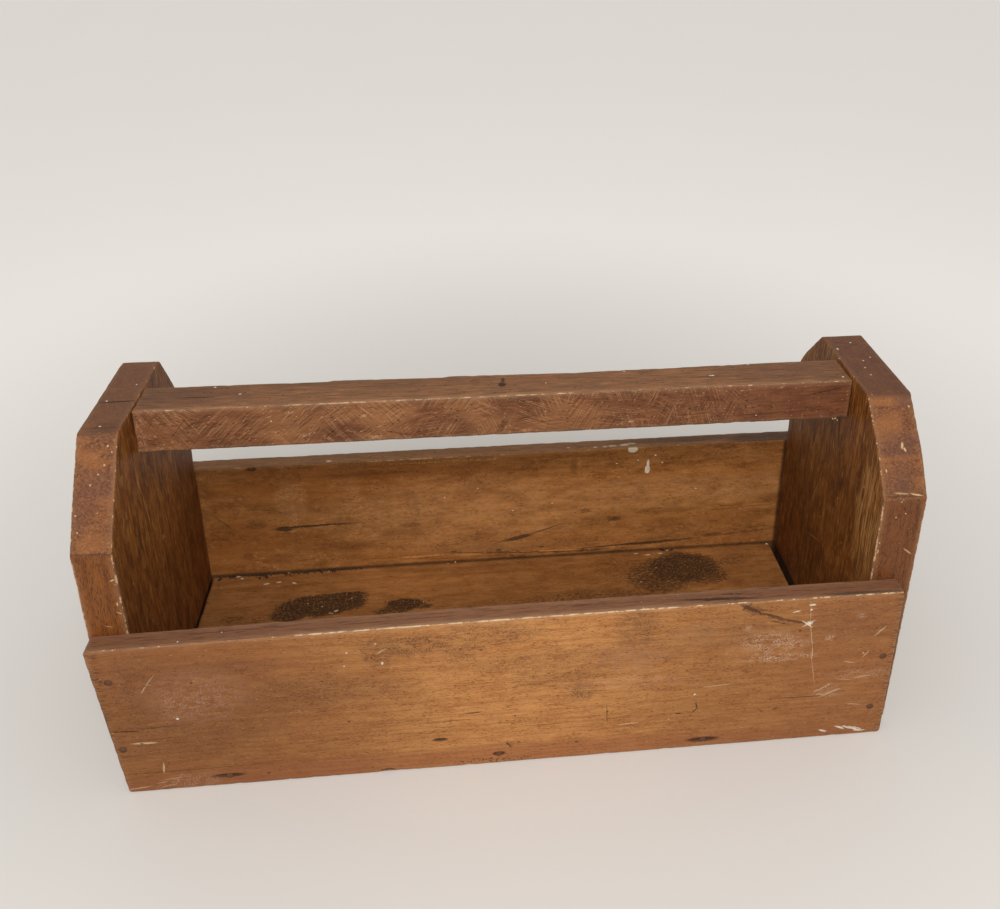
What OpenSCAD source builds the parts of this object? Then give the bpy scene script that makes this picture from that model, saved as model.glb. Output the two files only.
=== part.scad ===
// Open wooden tool caddy: two shaped end boards, two side boards, a bottom board
// and a square carrying bar, all butted and nailed.
// Millimetres, +Z up. The origin is on the ground under the middle of the caddy,
// +X runs along its length to the right and -Y is the front.

/* [Tool bay] */
// Clear length between the two end boards
inner_length = 700; // [560:1:860]
// Clear width between the side boards, which is also the width of an end board
inner_width = 241; // [200:1:290]

/* [End boards] */
// Height of both end boards
end_height = 355; // [335:1:400]
// Thickness of the left end board at the ground
left_end_thickness = 35; // [25:1:48]
// Thickness of the left end board at its top
left_end_top_thickness = 36.5; // [25:0.5:50]
// Thickness of the right end board at the ground
right_end_thickness = 40; // [25:1:48]
// Thickness of the right end board at its top
right_end_top_thickness = 44; // [25:0.5:50]
// Height at which the left end board starts to slope inwards
left_shoulder_height = 268; // [220:1:300]
// Height at which the right end board starts to slope inwards
right_shoulder_height = 277; // [220:1:300]
// Length of the flat top of the left end board, front to back
left_top_flat = 128; // [90:1:160]
// Length of the flat top of the right end board, front to back
right_top_flat = 118; // [90:1:160]
// How far the left end board's flat top is behind the middle of the board
left_top_shift = 3; // [0:0.5:8]
// How far the slopes of the right end board stand proud of straight
right_slope_bulge = 4; // [1:0.5:8]
// Radius of the corner at the front of the flat top
top_front_radius = 3; // [2:0.5:14]
// Radius of the corner at the back of the flat top
top_back_radius = 9; // [2:0.5:14]
// Radius of the corners at the shoulders
shoulder_radius = 8; // [3:1:14]

/* [Side boards] */
// Thickness of the front board and the back board
side_thickness = 19; // [12:1:26]
// Height of the front board at its left end
front_left_height = 178.5; // [160:0.5:200]
// Height of the front board at its right end
front_right_height = 184; // [160:0.5:200]
// Rise of the front board's top edge at mid-length above a straight line
front_crown = 2.5; // [0.5:0.5:6]
// How far the left end of the front board is cut in at the bottom
front_left_slant = 14; // [1:1:22]
// How far the front board stops short of the right end board's outer face
front_right_setback = 13; // [1:1:15]
// Height of the back board
back_height = 179; // [160:0.5:200]
// How far the back board stops short of the outer faces of both end boards
back_setback = 3; // [1:1:12]
// Radius of the four corners of each side board
side_corner_radius = 4; // [2:0.5:8]

/* [Bottom board] */
// Thickness of the bottom board
bottom_thickness = 24; // [16:1:32]
// Gap between the bottom board and the left end board
bottom_left_gap = 2; // [1:0.5:6]
// Gap between the bottom board and the right end board at the front
bottom_right_gap_front = 4; // [1:0.5:10]
// Gap between the bottom board and the right end board at the back
bottom_right_gap_back = 8; // [1:0.5:10]

/* [Carrying bar] */
// Width of the bar, front to back
handle_width = 42.5; // [30:0.5:55]
// Height of the bar at its left end
handle_left_height = 46; // [34:0.5:60]
// Height of the bar at its right end
handle_right_height = 44; // [34:0.5:60]
// How far the bar's top is below the top of the left end board
handle_left_drop = 2; // [1:0.5:15]
// How far the bar's top is below the top of the right end board
handle_right_drop = 4.5; // [1:0.5:15]
// How far the bar is in front of the middle of the caddy
handle_forward = 4.75; // [-8:0.25:8]

/* [Worn edges] */
// Width of the worn bevel along every outer edge of the boards
edge_wear = 1.5; // [0.5:0.25:2.5]

/* [Nails in the side boards] */
// Length of a nail, from the top of its head to its point
side_nail_length = 64; // [50:1:75]
// Diameter of the shank
side_nail_shank = 3.2; // [2.5:0.1:4]
// Diameter of the head
side_nail_head = 6.2; // [5:0.1:8]
// Height of the upper nail at the left end of the front board
front_left_upper_nail = 141; // [110:0.5:145]
// Height of the lower nail at the left end of the front board
front_left_lower_nail = 57; // [35:0.5:80]
// Height of the upper nail at the right end of the front board
front_right_upper_nail = 104; // [90:0.5:145]
// Height of the lower nail at the right end of the front board
front_right_lower_nail = 37; // [35:0.5:80]
// Distance of that upper nail from the right end board's inner face
front_right_upper_inset = 15.5; // [8:0.5:17]
// Distance of that lower nail from the right end board's inner face
front_right_lower_inset = 11.5; // [8:0.5:17]
// Height of the upper nail at both ends of the back board
back_upper_nail = 135; // [110:0.5:145]
// Height of the lower nail at both ends of the back board
back_lower_nail = 50; // [35:0.5:80]
// Distance of the left nail into the bottom board from the left end board
bottom_nail_left_inset = 75; // [40:1:120]
// Distance of the right nail into the bottom board from the right end board
bottom_nail_right_inset = 160; // [40:1:180]
// How far the middle nail into the bottom board is right of halfway
bottom_nail_middle_shift = 27; // [-40:1:40]
// How far the front right nail into the bottom board is below half its thickness
bottom_nail_right_drop = 2; // [0:0.5:3]

/* [Nails in the carrying bar] */
// Length of a nail, from the top of its head to its point
handle_nail_length = 76; // [65:1:100]
// Diameter of the shank
handle_nail_shank = 3.8; // [3:0.1:5]
// Diameter of the head
handle_nail_head = 7.4; // [6:0.1:9]
// Height between the two nails at each end of the bar
handle_nail_spacing = 19; // [13:0.5:22]

/* [Nail fit] */
// Thickness of every nail head
nail_head_thickness = 1.4; // [0.8:0.1:2.5]
// How deep the top of a head is set below the wood
nail_set = 0.3; // [0.1:0.1:1]
// Length of the tapered point
nail_point_length = 6; // [3:0.5:10]
// Clearance all round a nail in its hole
nail_clearance = 0.05; // [0.02:0.01:0.1]

/* [Hidden] */

$fn = 48;

front_wood = [0.64, 0.39, 0.21];
end_wood = [0.45, 0.26, 0.14];
inner_wood = [0.52, 0.33, 0.16];
bar_wood = [0.50, 0.31, 0.18];
nail_steel = [0.24, 0.20, 0.18];

corner_steps = 6;      // straight pieces in a rounded corner
crown_steps = 16;      // straight pieces in the crowned top edge
nail_tip = 0.4;        // diameter at the very end of a nail's point
hole_overrun = 1;      // how far a nail hole is cut past the face of the wood
end_slab = 0.01;       // thickness of the slabs that boards and the bar are spanned between
rim_scale = 0.9;       // how much such a slab of an end board narrows through its thickness
bulge_place = 0.4;     // where a slope bulges most, from its shoulder at 0 to the top at 1

// The overall length is centred on the origin, so the faces follow from its two ends.
// The outer faces are given at the ground, and lean out or in to the top thicknesses
left_reach = max(left_end_thickness, left_end_top_thickness);
right_reach = max(right_end_thickness, right_end_top_thickness);
overall_length = left_reach + inner_length + right_reach;
left_inner_x = left_reach - overall_length / 2;
right_inner_x = overall_length / 2 - right_reach;
left_outer_x = left_inner_x - left_end_thickness;
right_outer_x = right_inner_x + right_end_thickness;
left_end_middle_x = (left_outer_x + left_inner_x) / 2;
right_end_middle_x = (right_outer_x + right_inner_x) / 2;

// The side boards are nailed against the edges of the end boards
inner_face_y = inner_width / 2;
outer_face_y = inner_face_y + side_thickness;

// The bar hangs from the tops of the end boards
handle_middle_y = -handle_forward;
handle_left_top = end_height - handle_left_drop;
handle_right_top = end_height - handle_right_drop;

// The nails into the bottom board go in at half its thickness
bottom_nail_z = bottom_thickness / 2;
bottom_nail_left_x = left_inner_x + bottom_nail_left_inset;
bottom_nail_right_x = right_inner_x - bottom_nail_right_inset;
bottom_nail_middle_x = (bottom_nail_left_x + bottom_nail_right_x) / 2 + bottom_nail_middle_shift;
bottom_nail_xs = [bottom_nail_left_x, bottom_nail_middle_x, bottom_nail_right_x];
bottom_nail_right_z = bottom_nail_z - bottom_nail_right_drop;

function unit(v) = v / norm(v);

// Points of the arc that rounds corner b, between a and c, to a radius
function corner_arc(a, b, c, radius) =
    let (
        to_a = unit(a - b),
        to_c = unit(c - b),
        half_angle = acos(to_a * to_c) / 2,
        centre = b + unit(to_a + to_c) * radius / sin(half_angle),
        start = b + to_a * radius / tan(half_angle) - centre,
        end = b + to_c * radius / tan(half_angle) - centre
    )
    [
        for (i = [0 : corner_steps])
            let (t = i / corner_steps)
            centre + radius * unit((1 - t) * start + t * end)
    ];

// An outline with each of its corners rounded to its own radius
function rounded_outline(corners, radii) =
    let (n = len(corners))
    [
        for (i = [0 : n - 1])
            each corner_arc(corners[(i + n - 1) % n], corners[i], corners[(i + 1) % n], radii[i])
    ];

// Height of the front board's top edge, from its left end at 0 to its right end at 1
function front_top(along) =
    front_left_height * (1 - along) + front_right_height * along
    + front_crown * 4 * along * (1 - along);

// Thickness of an end board at a height, from its thickness at the ground and at its top
function end_thickness_at(height, thickness, top_thickness) =
    thickness + (top_thickness - thickness) * height / end_height;

// The point where a slope from a shoulder to the flat top bulges most
function bulge_point(shoulder, top, bulge) =
    let (
        run = top - shoulder,
        outward = unit([-run[1], run[0]]) * sign(shoulder[0]) * -1
    )
    shoulder + bulge_place * run + bulge * outward;

// A board with the worn bevel on both faces of a convex outline
module worn_board(thickness) {
    hull() {
        translate([0, 0, edge_wear])
            linear_extrude(thickness - 2 * edge_wear)
                children();
        linear_extrude(thickness)
            offset(delta = -edge_wear)
                children();
    }
}

// A thin slab of an outline from z = 0 inwards, where it narrows so that only its rim counts
module rim(inwards) {
    mirror([0, 0, inwards > 0 ? 0 : 1])
        linear_extrude(end_slab, scale = rim_scale)
            children();
}

// An end board with the same bevel: its inner face is at z = 0, and its outer face leans
module leaning_board(thickness, top_thickness) {
    lean = (top_thickness - thickness) / end_height;
    hull() {
        rim(1)
            offset(delta = -edge_wear)
                children();
        translate([0, 0, edge_wear])
            rim(1)
                children();
        multmatrix([[1, 0, 0, 0], [0, 1, 0, 0], [0, lean, 1, thickness]]) {
            rim(-1)
                offset(delta = -edge_wear)
                    children();
            translate([0, 0, -edge_wear])
                rim(-1)
                    children();
        }
    }
}

// Stands a flat outline up across the caddy, with its thickness towards +X
module stand_across() {
    rotate([90, 0, 90])
        children();
}

// Stands a flat outline up along the caddy, with its thickness towards -Y
module stand_along() {
    rotate([90, 0, 0])
        children();
}

// Outline of an end board: upright to the shoulders, then sloped in to a flat top
module end_outline(shoulder_height, top_flat, top_shift, bulge) {
    front_shoulder = [-inner_width / 2, shoulder_height];
    back_shoulder = [inner_width / 2, shoulder_height];
    front_top = [top_shift - top_flat / 2, end_height];
    back_top = [top_shift + top_flat / 2, end_height];
    back_bulge = bulge > 0 ? [bulge_point(back_shoulder, back_top, bulge)] : [];
    front_bulge = bulge > 0 ? [bulge_point(front_shoulder, front_top, bulge)] : [];
    corners = concat(
        [[-inner_width / 2, 0], [inner_width / 2, 0], back_shoulder],
        back_bulge,
        [back_top, front_top],
        front_bulge,
        [front_shoulder]
    );
    radii = concat(
        [edge_wear, edge_wear, shoulder_radius],
        [for (point = back_bulge) edge_wear],
        [top_back_radius, top_front_radius],
        [for (point = front_bulge) edge_wear],
        [shoulder_radius]
    );
    polygon(rounded_outline(corners, radii));
}

// Outline of the front board: its left end is sawn at a slant and its top is crowned
module front_outline() {
    right_x = right_outer_x - front_right_setback;
    crown = [
        for (i = [1 : crown_steps - 1])
            let (along = i / crown_steps)
            [right_x + (left_outer_x - right_x) * along, front_top(1 - along)]
    ];
    corners = concat(
        [
            [left_outer_x + front_left_slant, 0],
            [right_x, 0],
            [right_x, front_right_height]
        ],
        crown,
        [[left_outer_x, front_left_height]]
    );
    radii = [
        for (i = [0 : len(corners) - 1])
            i < 3 || i == len(corners) - 1 ? side_corner_radius : edge_wear
    ];
    polygon(rounded_outline(corners, radii));
}

// Outline of the back board
module back_outline() {
    left_x = left_outer_x + back_setback;
    right_x = right_outer_x - back_setback;
    corners = [[left_x, 0], [right_x, 0], [right_x, back_height], [left_x, back_height]];
    polygon(rounded_outline(corners, [for (corner = corners) side_corner_radius]));
}

// A thin slab of the bar's cross-section, with worn corners, from a height downwards
module bar_slab(top, height) {
    half_width = handle_width / 2;
    translate([0, handle_middle_y, 0])
        stand_across()
            linear_extrude(end_slab)
                polygon([
                    [-half_width + edge_wear, top],
                    [half_width - edge_wear, top],
                    [half_width, top - edge_wear],
                    [half_width, top - height + edge_wear],
                    [half_width - edge_wear, top - height],
                    [-half_width + edge_wear, top - height],
                    [-half_width, top - height + edge_wear],
                    [-half_width, top - edge_wear]
                ]);
}

// A nail with the surface of the wood at z = 0, pointing down
module nail(length, shank, head) {
    straight = length - nail_head_thickness - nail_point_length;
    translate([0, 0, -nail_set - nail_head_thickness])
        cylinder(h = nail_head_thickness, d = head);
    translate([0, 0, -nail_set - nail_head_thickness - straight])
        cylinder(h = straight, d = shank);
    translate([0, 0, -nail_set - length])
        cylinder(h = nail_point_length, d1 = nail_tip, d2 = shank);
}

// The hole that a driven nail fills: its head rests on the step below the surface
module nail_hole(length, shank, head) {
    bore = shank + 2 * nail_clearance;
    translate([0, 0, -nail_set - nail_head_thickness])
        cylinder(h = nail_set + nail_head_thickness + hole_overrun, d = head + 2 * nail_clearance);
    translate([0, 0, -nail_set - length + nail_point_length])
        cylinder(h = length - nail_point_length, d = bore);
    translate([0, 0, -nail_set - length - nail_clearance])
        cylinder(h = nail_point_length + nail_clearance, d1 = nail_tip, d2 = bore);
}

module side_nail() {
    nail(side_nail_length, side_nail_shank, side_nail_head);
}

module side_nail_hole() {
    nail_hole(side_nail_length, side_nail_shank, side_nail_head);
}

module handle_nail() {
    nail(handle_nail_length, handle_nail_shank, handle_nail_head);
}

module handle_nail_hole() {
    nail_hole(handle_nail_length, handle_nail_shank, handle_nail_head);
}

// Places for the nails, shared by each nail and its hole
module at_front(x, heights) {
    for (z = heights)
        translate([x, -outer_face_y, z])
            rotate([90, 0, 0])
                children();
}

module at_back(x, heights) {
    for (z = heights)
        translate([x, outer_face_y, z])
            rotate([-90, 0, 0])
                children();
}

module at_front_left() {
    at_front(left_end_middle_x, [front_left_upper_nail, front_left_lower_nail])
        children();
}

module at_front_right() {
    at_front(right_inner_x + front_right_upper_inset, [front_right_upper_nail])
        children();
    at_front(right_inner_x + front_right_lower_inset, [front_right_lower_nail])
        children();
}

module at_front_bottom() {
    at_front(bottom_nail_left_x, [bottom_nail_z])
        children();
    at_front(bottom_nail_middle_x, [bottom_nail_z])
        children();
    at_front(bottom_nail_right_x, [bottom_nail_right_z])
        children();
}

module at_back_left() {
    at_back(left_end_middle_x, [back_upper_nail, back_lower_nail])
        children();
}

module at_back_right() {
    at_back(right_end_middle_x, [back_upper_nail, back_lower_nail])
        children();
}

module at_back_bottom() {
    for (x = bottom_nail_xs)
        at_back(x, [bottom_nail_z])
            children();
}

module at_left_handle() {
    middle_z = handle_left_top - handle_left_height / 2;
    for (z = [middle_z - handle_nail_spacing / 2, middle_z + handle_nail_spacing / 2])
        translate([
            left_inner_x - end_thickness_at(z, left_end_thickness, left_end_top_thickness),
            handle_middle_y,
            z
        ])
            rotate([0, -90, 0])
                children();
}

module at_right_handle() {
    middle_z = handle_right_top - handle_right_height / 2;
    for (z = [middle_z - handle_nail_spacing / 2, middle_z + handle_nail_spacing / 2])
        translate([
            right_inner_x + end_thickness_at(z, right_end_thickness, right_end_top_thickness),
            handle_middle_y,
            z
        ])
            rotate([0, 90, 0])
                children();
}

module left_end() {
    color(end_wood)
        difference() {
            translate([left_inner_x, 0, 0])
                mirror([1, 0, 0])
                    stand_across()
                        leaning_board(left_end_thickness, left_end_top_thickness)
                            end_outline(left_shoulder_height, left_top_flat, left_top_shift, 0);
            at_front_left()
                side_nail_hole();
            at_back_left()
                side_nail_hole();
            at_left_handle()
                handle_nail_hole();
        }
}

module right_end() {
    color(end_wood)
        difference() {
            translate([right_inner_x, 0, 0])
                stand_across()
                    leaning_board(right_end_thickness, right_end_top_thickness)
                        end_outline(right_shoulder_height, right_top_flat, 0, right_slope_bulge);
            at_front_right()
                side_nail_hole();
            at_back_right()
                side_nail_hole();
            at_right_handle()
                handle_nail_hole();
        }
}

module front_board() {
    color(front_wood)
        difference() {
            translate([0, -inner_face_y, 0])
                stand_along()
                    worn_board(side_thickness)
                        front_outline();
            at_front_left()
                side_nail_hole();
            at_front_right()
                side_nail_hole();
            at_front_bottom()
                side_nail_hole();
        }
}

module back_board() {
    color(inner_wood)
        difference() {
            translate([0, outer_face_y, 0])
                stand_along()
                    worn_board(side_thickness)
                        back_outline();
            at_back_left()
                side_nail_hole();
            at_back_right()
                side_nail_hole();
            at_back_bottom()
                side_nail_hole();
        }
}

// Lies between the side boards; its right end was sawn a little out of square
module bottom_board() {
    left_x = left_inner_x + bottom_left_gap;
    color(inner_wood)
        difference() {
            linear_extrude(bottom_thickness)
                polygon([
                    [left_x, -inner_face_y],
                    [right_inner_x - bottom_right_gap_front, -inner_face_y],
                    [right_inner_x - bottom_right_gap_back, inner_face_y],
                    [left_x, inner_face_y]
                ]);
            at_front_bottom()
                side_nail_hole();
            at_back_bottom()
                side_nail_hole();
        }
}

module handle() {
    color(bar_wood)
        difference() {
            hull() {
                translate([left_inner_x, 0, 0])
                    bar_slab(handle_left_top, handle_left_height);
                translate([right_inner_x - end_slab, 0, 0])
                    bar_slab(handle_right_top, handle_right_height);
            }
            at_left_handle()
                handle_nail_hole();
            at_right_handle()
                handle_nail_hole();
        }
}

module front_left_nails() {
    color(nail_steel)
        at_front_left()
            side_nail();
}

module front_right_nails() {
    color(nail_steel)
        at_front_right()
            side_nail();
}

module front_bottom_nails() {
    color(nail_steel)
        at_front_bottom()
            side_nail();
}

module back_left_nails() {
    color(nail_steel)
        at_back_left()
            side_nail();
}

module back_right_nails() {
    color(nail_steel)
        at_back_right()
            side_nail();
}

module back_bottom_nails() {
    color(nail_steel)
        at_back_bottom()
            side_nail();
}

module left_handle_nails() {
    color(nail_steel)
        at_left_handle()
            handle_nail();
}

module right_handle_nails() {
    color(nail_steel)
        at_right_handle()
            handle_nail();
}

left_end();
right_end();
front_board();
back_board();
bottom_board();
handle();
front_left_nails();
front_right_nails();
front_bottom_nails();
back_left_nails();
back_right_nails();
back_bottom_nails();
left_handle_nails();
right_handle_nails();
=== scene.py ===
"""A worn wooden tool caddy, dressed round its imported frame: six boards, their nails, dust and grit."""

import math

import bmesh
import bpy
from mathutils import Euler, Matrix, Vector, noise


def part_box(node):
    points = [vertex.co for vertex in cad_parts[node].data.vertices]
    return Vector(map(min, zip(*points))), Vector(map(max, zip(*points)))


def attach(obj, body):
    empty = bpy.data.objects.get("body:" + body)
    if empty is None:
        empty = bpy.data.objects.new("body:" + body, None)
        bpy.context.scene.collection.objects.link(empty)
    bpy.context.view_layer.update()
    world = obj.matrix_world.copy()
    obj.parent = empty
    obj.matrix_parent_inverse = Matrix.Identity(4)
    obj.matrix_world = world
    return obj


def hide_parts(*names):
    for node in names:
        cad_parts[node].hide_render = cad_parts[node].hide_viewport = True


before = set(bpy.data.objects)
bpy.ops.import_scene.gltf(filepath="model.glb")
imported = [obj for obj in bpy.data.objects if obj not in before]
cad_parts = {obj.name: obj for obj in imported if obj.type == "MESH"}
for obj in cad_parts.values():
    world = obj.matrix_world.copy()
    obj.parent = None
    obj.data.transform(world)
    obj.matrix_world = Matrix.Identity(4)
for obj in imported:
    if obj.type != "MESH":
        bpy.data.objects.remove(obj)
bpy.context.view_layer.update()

bl_info = {
    "name": "Worn wooden tool caddy",
    "version": (1, 0, 0),
    "blender": (4, 5, 0),
    "location": "View3D > Sidebar > Tool Caddy",
    "description": "Builds the boards, nails and dust of a worn wooden tool caddy",
    "category": "Object",
}

MM = 0.001
CRUMB_SHARP = 60
NO_POINT = (0.0, 0.0, 0.0)


def tone(red, green, blue):
    """A colour written as 0-255 screen values, as the linear values that shaders use."""

    def linear(value):
        share = value / 255
        return share / 12.92 if share <= 0.04045 else ((share + 0.055) / 1.055) ** 2.4

    return (linear(red), linear(green), linear(blue))


def opaque(colour):
    """A colour with a full fourth channel."""
    return (*colour[:3], 1.0)


def box_mm(node):
    """The lowest and highest corner of a CAD node, in millimetres."""
    low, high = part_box(node)
    return low / MM, high / MM


# --------------------------------------------------------------------------------------
# Sizes and colours that can be changed in the sidebar
# --------------------------------------------------------------------------------------


def length_property(name, description, default):
    return bpy.props.FloatProperty(
        name=name, description=description, default=default, min=0, unit="LENGTH", precision=4
    )


def colour_property(name, description, default):
    return bpy.props.FloatVectorProperty(
        name=name, description=description, default=default, size=3, min=0, max=1, subtype="COLOR"
    )


class CaddyShape(bpy.types.PropertyGroup):
    """Sizes of the boards and nails that their boxes in the frame don't give."""

    left_shoulder: length_property("Left shoulder", "Height of the left end's shoulders", 0.268)
    right_shoulder: length_property("Right shoulder", "Height of the right end's shoulders", 0.277)
    left_flat: length_property("Left flat top", "Front-to-back length of the left end's top", 0.128)
    right_flat: length_property("Right flat top", "Front-to-back length of the right end's top", 0.118)
    left_top_shift: length_property("Left top shift", "How far the left end's top is behind its middle", 0.003)
    left_slope_bulge: length_property("Left bulge", "How far the left end's slopes stand proud", 0.0012)
    right_slope_bulge: length_property("Right bulge", "How far the right end's slopes stand proud", 0.004)
    left_foot: length_property("Left foot", "Thickness of the left end at the ground", 0.035)
    right_foot: length_property("Right foot", "Thickness of the right end at the ground", 0.040)
    left_foot_wear: length_property("Left foot wear", "How much thinner the left end's front foot is worn", 0.0045)
    top_front_corner: length_property("Top front corners", "Radius of the ends' tops in front", 0.003)
    top_back_corner: length_property("Top back corners", "Radius of the ends' tops behind", 0.009)
    shoulder_corner: length_property("Shoulders", "Radius of the ends' shoulders", 0.0035)
    front_left_height: length_property("Front height, left", "Front board's height at its left", 0.1785)
    front_right_height: length_property("Front height, right", "Front board's height at its right", 0.184)
    front_crown: length_property("Front crown", "Rise of the front board's top at mid-length", 0.0025)
    front_slant: length_property("Front slant", "How far the front board's left end slants", 0.014)
    board_corner: length_property("Board corners", "Radius of the side boards' corners", 0.004)
    right_gap_front: length_property("Gap at the front", "Bottom board to right end, in front", 0.004)
    right_gap_back: length_property("Gap at the back", "Bottom board to right end, behind", 0.008)
    bar_left_height: length_property("Bar height, left", "Height of the bar at its left end", 0.046)
    bar_right_height: length_property("Bar height, right", "Height of the bar at its right end", 0.044)
    bar_left_drop: length_property("Bar drop, left", "Bar's top below the left end's top", 0.002)
    bar_right_drop: length_property("Bar drop, right", "Bar's top below the right end's top", 0.0045)
    side_nail_head: length_property("Side nail head", "Diameter of a side nail's head", 0.0062)
    side_nail_shank: length_property("Side nail shank", "Diameter of a side nail's shank", 0.0032)
    bar_nail_head: length_property("Bar nail head", "Diameter of a bar nail's head", 0.0074)
    bar_nail_shank: length_property("Bar nail shank", "Diameter of a bar nail's shank", 0.0038)
    nail_clearance: length_property("Nail clearance", "Gap all round a nail in its hole", 0.00005)


class CaddyWear(bpy.types.PropertyGroup):
    """How worn and uneven the boards are."""

    arris: length_property("Arris", "Width of the rounding along every edge", 0.0014)
    chip_depth: length_property("Chip depth", "How deep the edges are chipped", 0.0012)
    chip_reach: length_property("Chip reach", "How far chips reach in from an edge", 0.004)
    waviness: length_property("Waviness", "How far the faces are out of flat", 0.00025)
    mesh_step: length_property("Mesh step", "Size of the faces of the boards' meshes", 0.006)


class CaddyStage(bpy.types.PropertyGroup):
    """The camera, the lamps and the floor."""

    camera_place: bpy.props.FloatVectorProperty(
        name="Camera", description="Where the camera stands", default=(-0.04219, -0.79796, 0.83762),
        size=3, subtype="TRANSLATION", unit="LENGTH"
    )
    camera_yaw: bpy.props.FloatProperty(
        name="Yaw", description="Turn of the camera to the left", default=math.radians(-5.452), subtype="ANGLE"
    )
    camera_pitch: bpy.props.FloatProperty(
        name="Pitch", description="Tilt of the camera upwards", default=math.radians(-21.512), subtype="ANGLE"
    )
    camera_roll: bpy.props.FloatProperty(
        name="Roll", description="Roll of the camera", default=math.radians(-0.286), subtype="ANGLE"
    )
    camera_lens: bpy.props.FloatProperty(
        name="Focal length", description="For a sensor 36 mm wide", default=33.29, min=1, subtype="DISTANCE_CAMERA"
    )
    shift_right: bpy.props.FloatProperty(name="Shift across", description="Lens shift to the side", default=-0.0417)
    shift_up: bpy.props.FloatProperty(name="Shift up", description="Lens shift upwards", default=-0.2329)
    lamp_power: bpy.props.FloatProperty(
        name="Lamp power", description="Power of the main lamp", default=26.0, min=0, unit="POWER"
    )
    world_strength: bpy.props.FloatProperty(
        name="Room light", description="Strength of the light from all round", default=0.55, min=0
    )
    floor_colour: colour_property("Floor", "Colour of the floor", tone(206, 202, 196))
    seen_floor_colour: colour_property("Floor as seen", "Colour of the floor for the camera", tone(236, 233, 228))
    backdrop_colour: colour_property("Backdrop", "Colour beyond the floor", tone(226, 223, 218))


# --------------------------------------------------------------------------------------
# Boards
# --------------------------------------------------------------------------------------

AXES = {"X": Vector((1, 0, 0)), "Y": Vector((0, 1, 0)), "Z": Vector((0, 0, 1))}
EDGE_CUTS = (2.5, 5, 9)
WAVE_LENGTH, CHIP_LENGTH, CRUMBLE_LENGTH = 45, 9, 3.1


def stand(axis, across, up, depth):
    """A point of an outline, with its depth along the axis that the outline is extruded on."""
    return {"X": (depth, across, up), "Y": (across, depth, up), "Z": (across, up, depth)}[axis]


def everything(bm):
    return bm.verts[:] + bm.edges[:] + bm.faces[:]


def saw_blank(bm, axis, corners, radii, near, far, arris):
    """Extrudes an outline from near to far, rounds its corners and takes off every arris."""
    low = [bm.verts.new(stand(axis, a, b, near)) for a, b in corners]
    face = bm.faces.new(low)
    grown = bmesh.ops.extrude_face_region(bm, geom=[face])["geom"]
    high = [item for item in grown if isinstance(item, bmesh.types.BMVert)]
    bmesh.ops.translate(bm, verts=high, vec=AXES[axis] * (far - near))
    bmesh.ops.recalc_face_normals(bm, faces=bm.faces[:])
    count = len(corners)
    pairs = []
    for vert in low:
        pairs.append(next(e for e in vert.link_edges if abs(e.calc_length() - abs(far - near)) < 1e-4
                          and e.other_vert(vert) in high))
    ends = [tuple(edge.verts) for edge in pairs]
    for index, radius in enumerate(radii):
        if not radius:
            continue
        before, here, after = (Vector(corners[(index + k) % count]) for k in (-1, 0, 1))
        angle = (before - here).angle(after - here)
        edge = bm.edges.get(ends[index])
        bmesh.ops.bevel(bm, geom=[edge], offset=radius / math.tan(angle / 2), offset_type="OFFSET",
                        segments=4, profile=0.5, affect="EDGES", material=-1)
    rims = [e for e in bm.edges if len(e.link_faces) == 2
            and sum(abs(f.normal.dot(AXES[axis])) > 0.99 for f in e.link_faces) == 1]
    bmesh.ops.bevel(bm, geom=rims, offset=arris, offset_type="OFFSET", segments=3, profile=0.5,
                    affect="EDGES", material=-1)


def cut_across(bm, axis, places):
    """Cuts every face that a plane across the axis meets, at each place."""
    for place in places:
        bmesh.ops.bisect_plane(bm, geom=everything(bm), dist=0.01, plane_co=AXES[axis] * place,
                               plane_no=AXES[axis])


def ruled(low, high, step):
    """Places between low and high: close together near both ends, then a step apart."""
    *margins, widest = EDGE_CUTS
    first, last = low + widest, high - widest
    count = max(1, round((last - first) / step))
    inner = [first + (last - first) * k / count for k in range(count + 1)]
    return [low + m for m in margins] + inner + [high - m for m in reversed(margins)]


def rule_faces(bm, step, **spans):
    """Cuts a blank into faces about a step wide, along each named axis in turn."""
    for axis, (low, high) in spans.items():
        cut_across(bm, axis, ruled(low, high, step))


def edge_distances(point, planes):
    """The names of the two nearest faces of a board and the distance to the edge between them."""
    near = sorted((depth(point), name) for name, depth in planes.items())
    return near[0][1], near[1][1], max(near[1][0], 0.0)


def board_planes(axis, corners, names, near, far):
    """Depth below each named side of a board's outline, and below its near and far face."""
    sides = {}
    for index, name in enumerate(names):
        start, end = Vector(corners[index]), Vector(corners[(index + 1) % len(corners)])
        run = (end - start).normalized()
        sides.setdefault(name, []).append((start, Vector((-run.y, run.x))))

    def flat(point):
        return Vector({"X": (point.y, point.z), "Y": (point.x, point.z), "Z": (point.x, point.y)}[axis])

    def depth_below(name):
        return lambda p: min((flat(p) - start).dot(inward) for start, inward in sides[name])

    planes = {name: depth_below(name) for name in sides}
    low, high = {"X": ("left", "right"), "Y": ("front", "back"), "Z": ("bottom", "top")}[axis]
    planes[low] = lambda p: p.dot(AXES[axis]) - near
    planes[high] = lambda p: far - p.dot(AXES[axis])
    return planes


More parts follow.
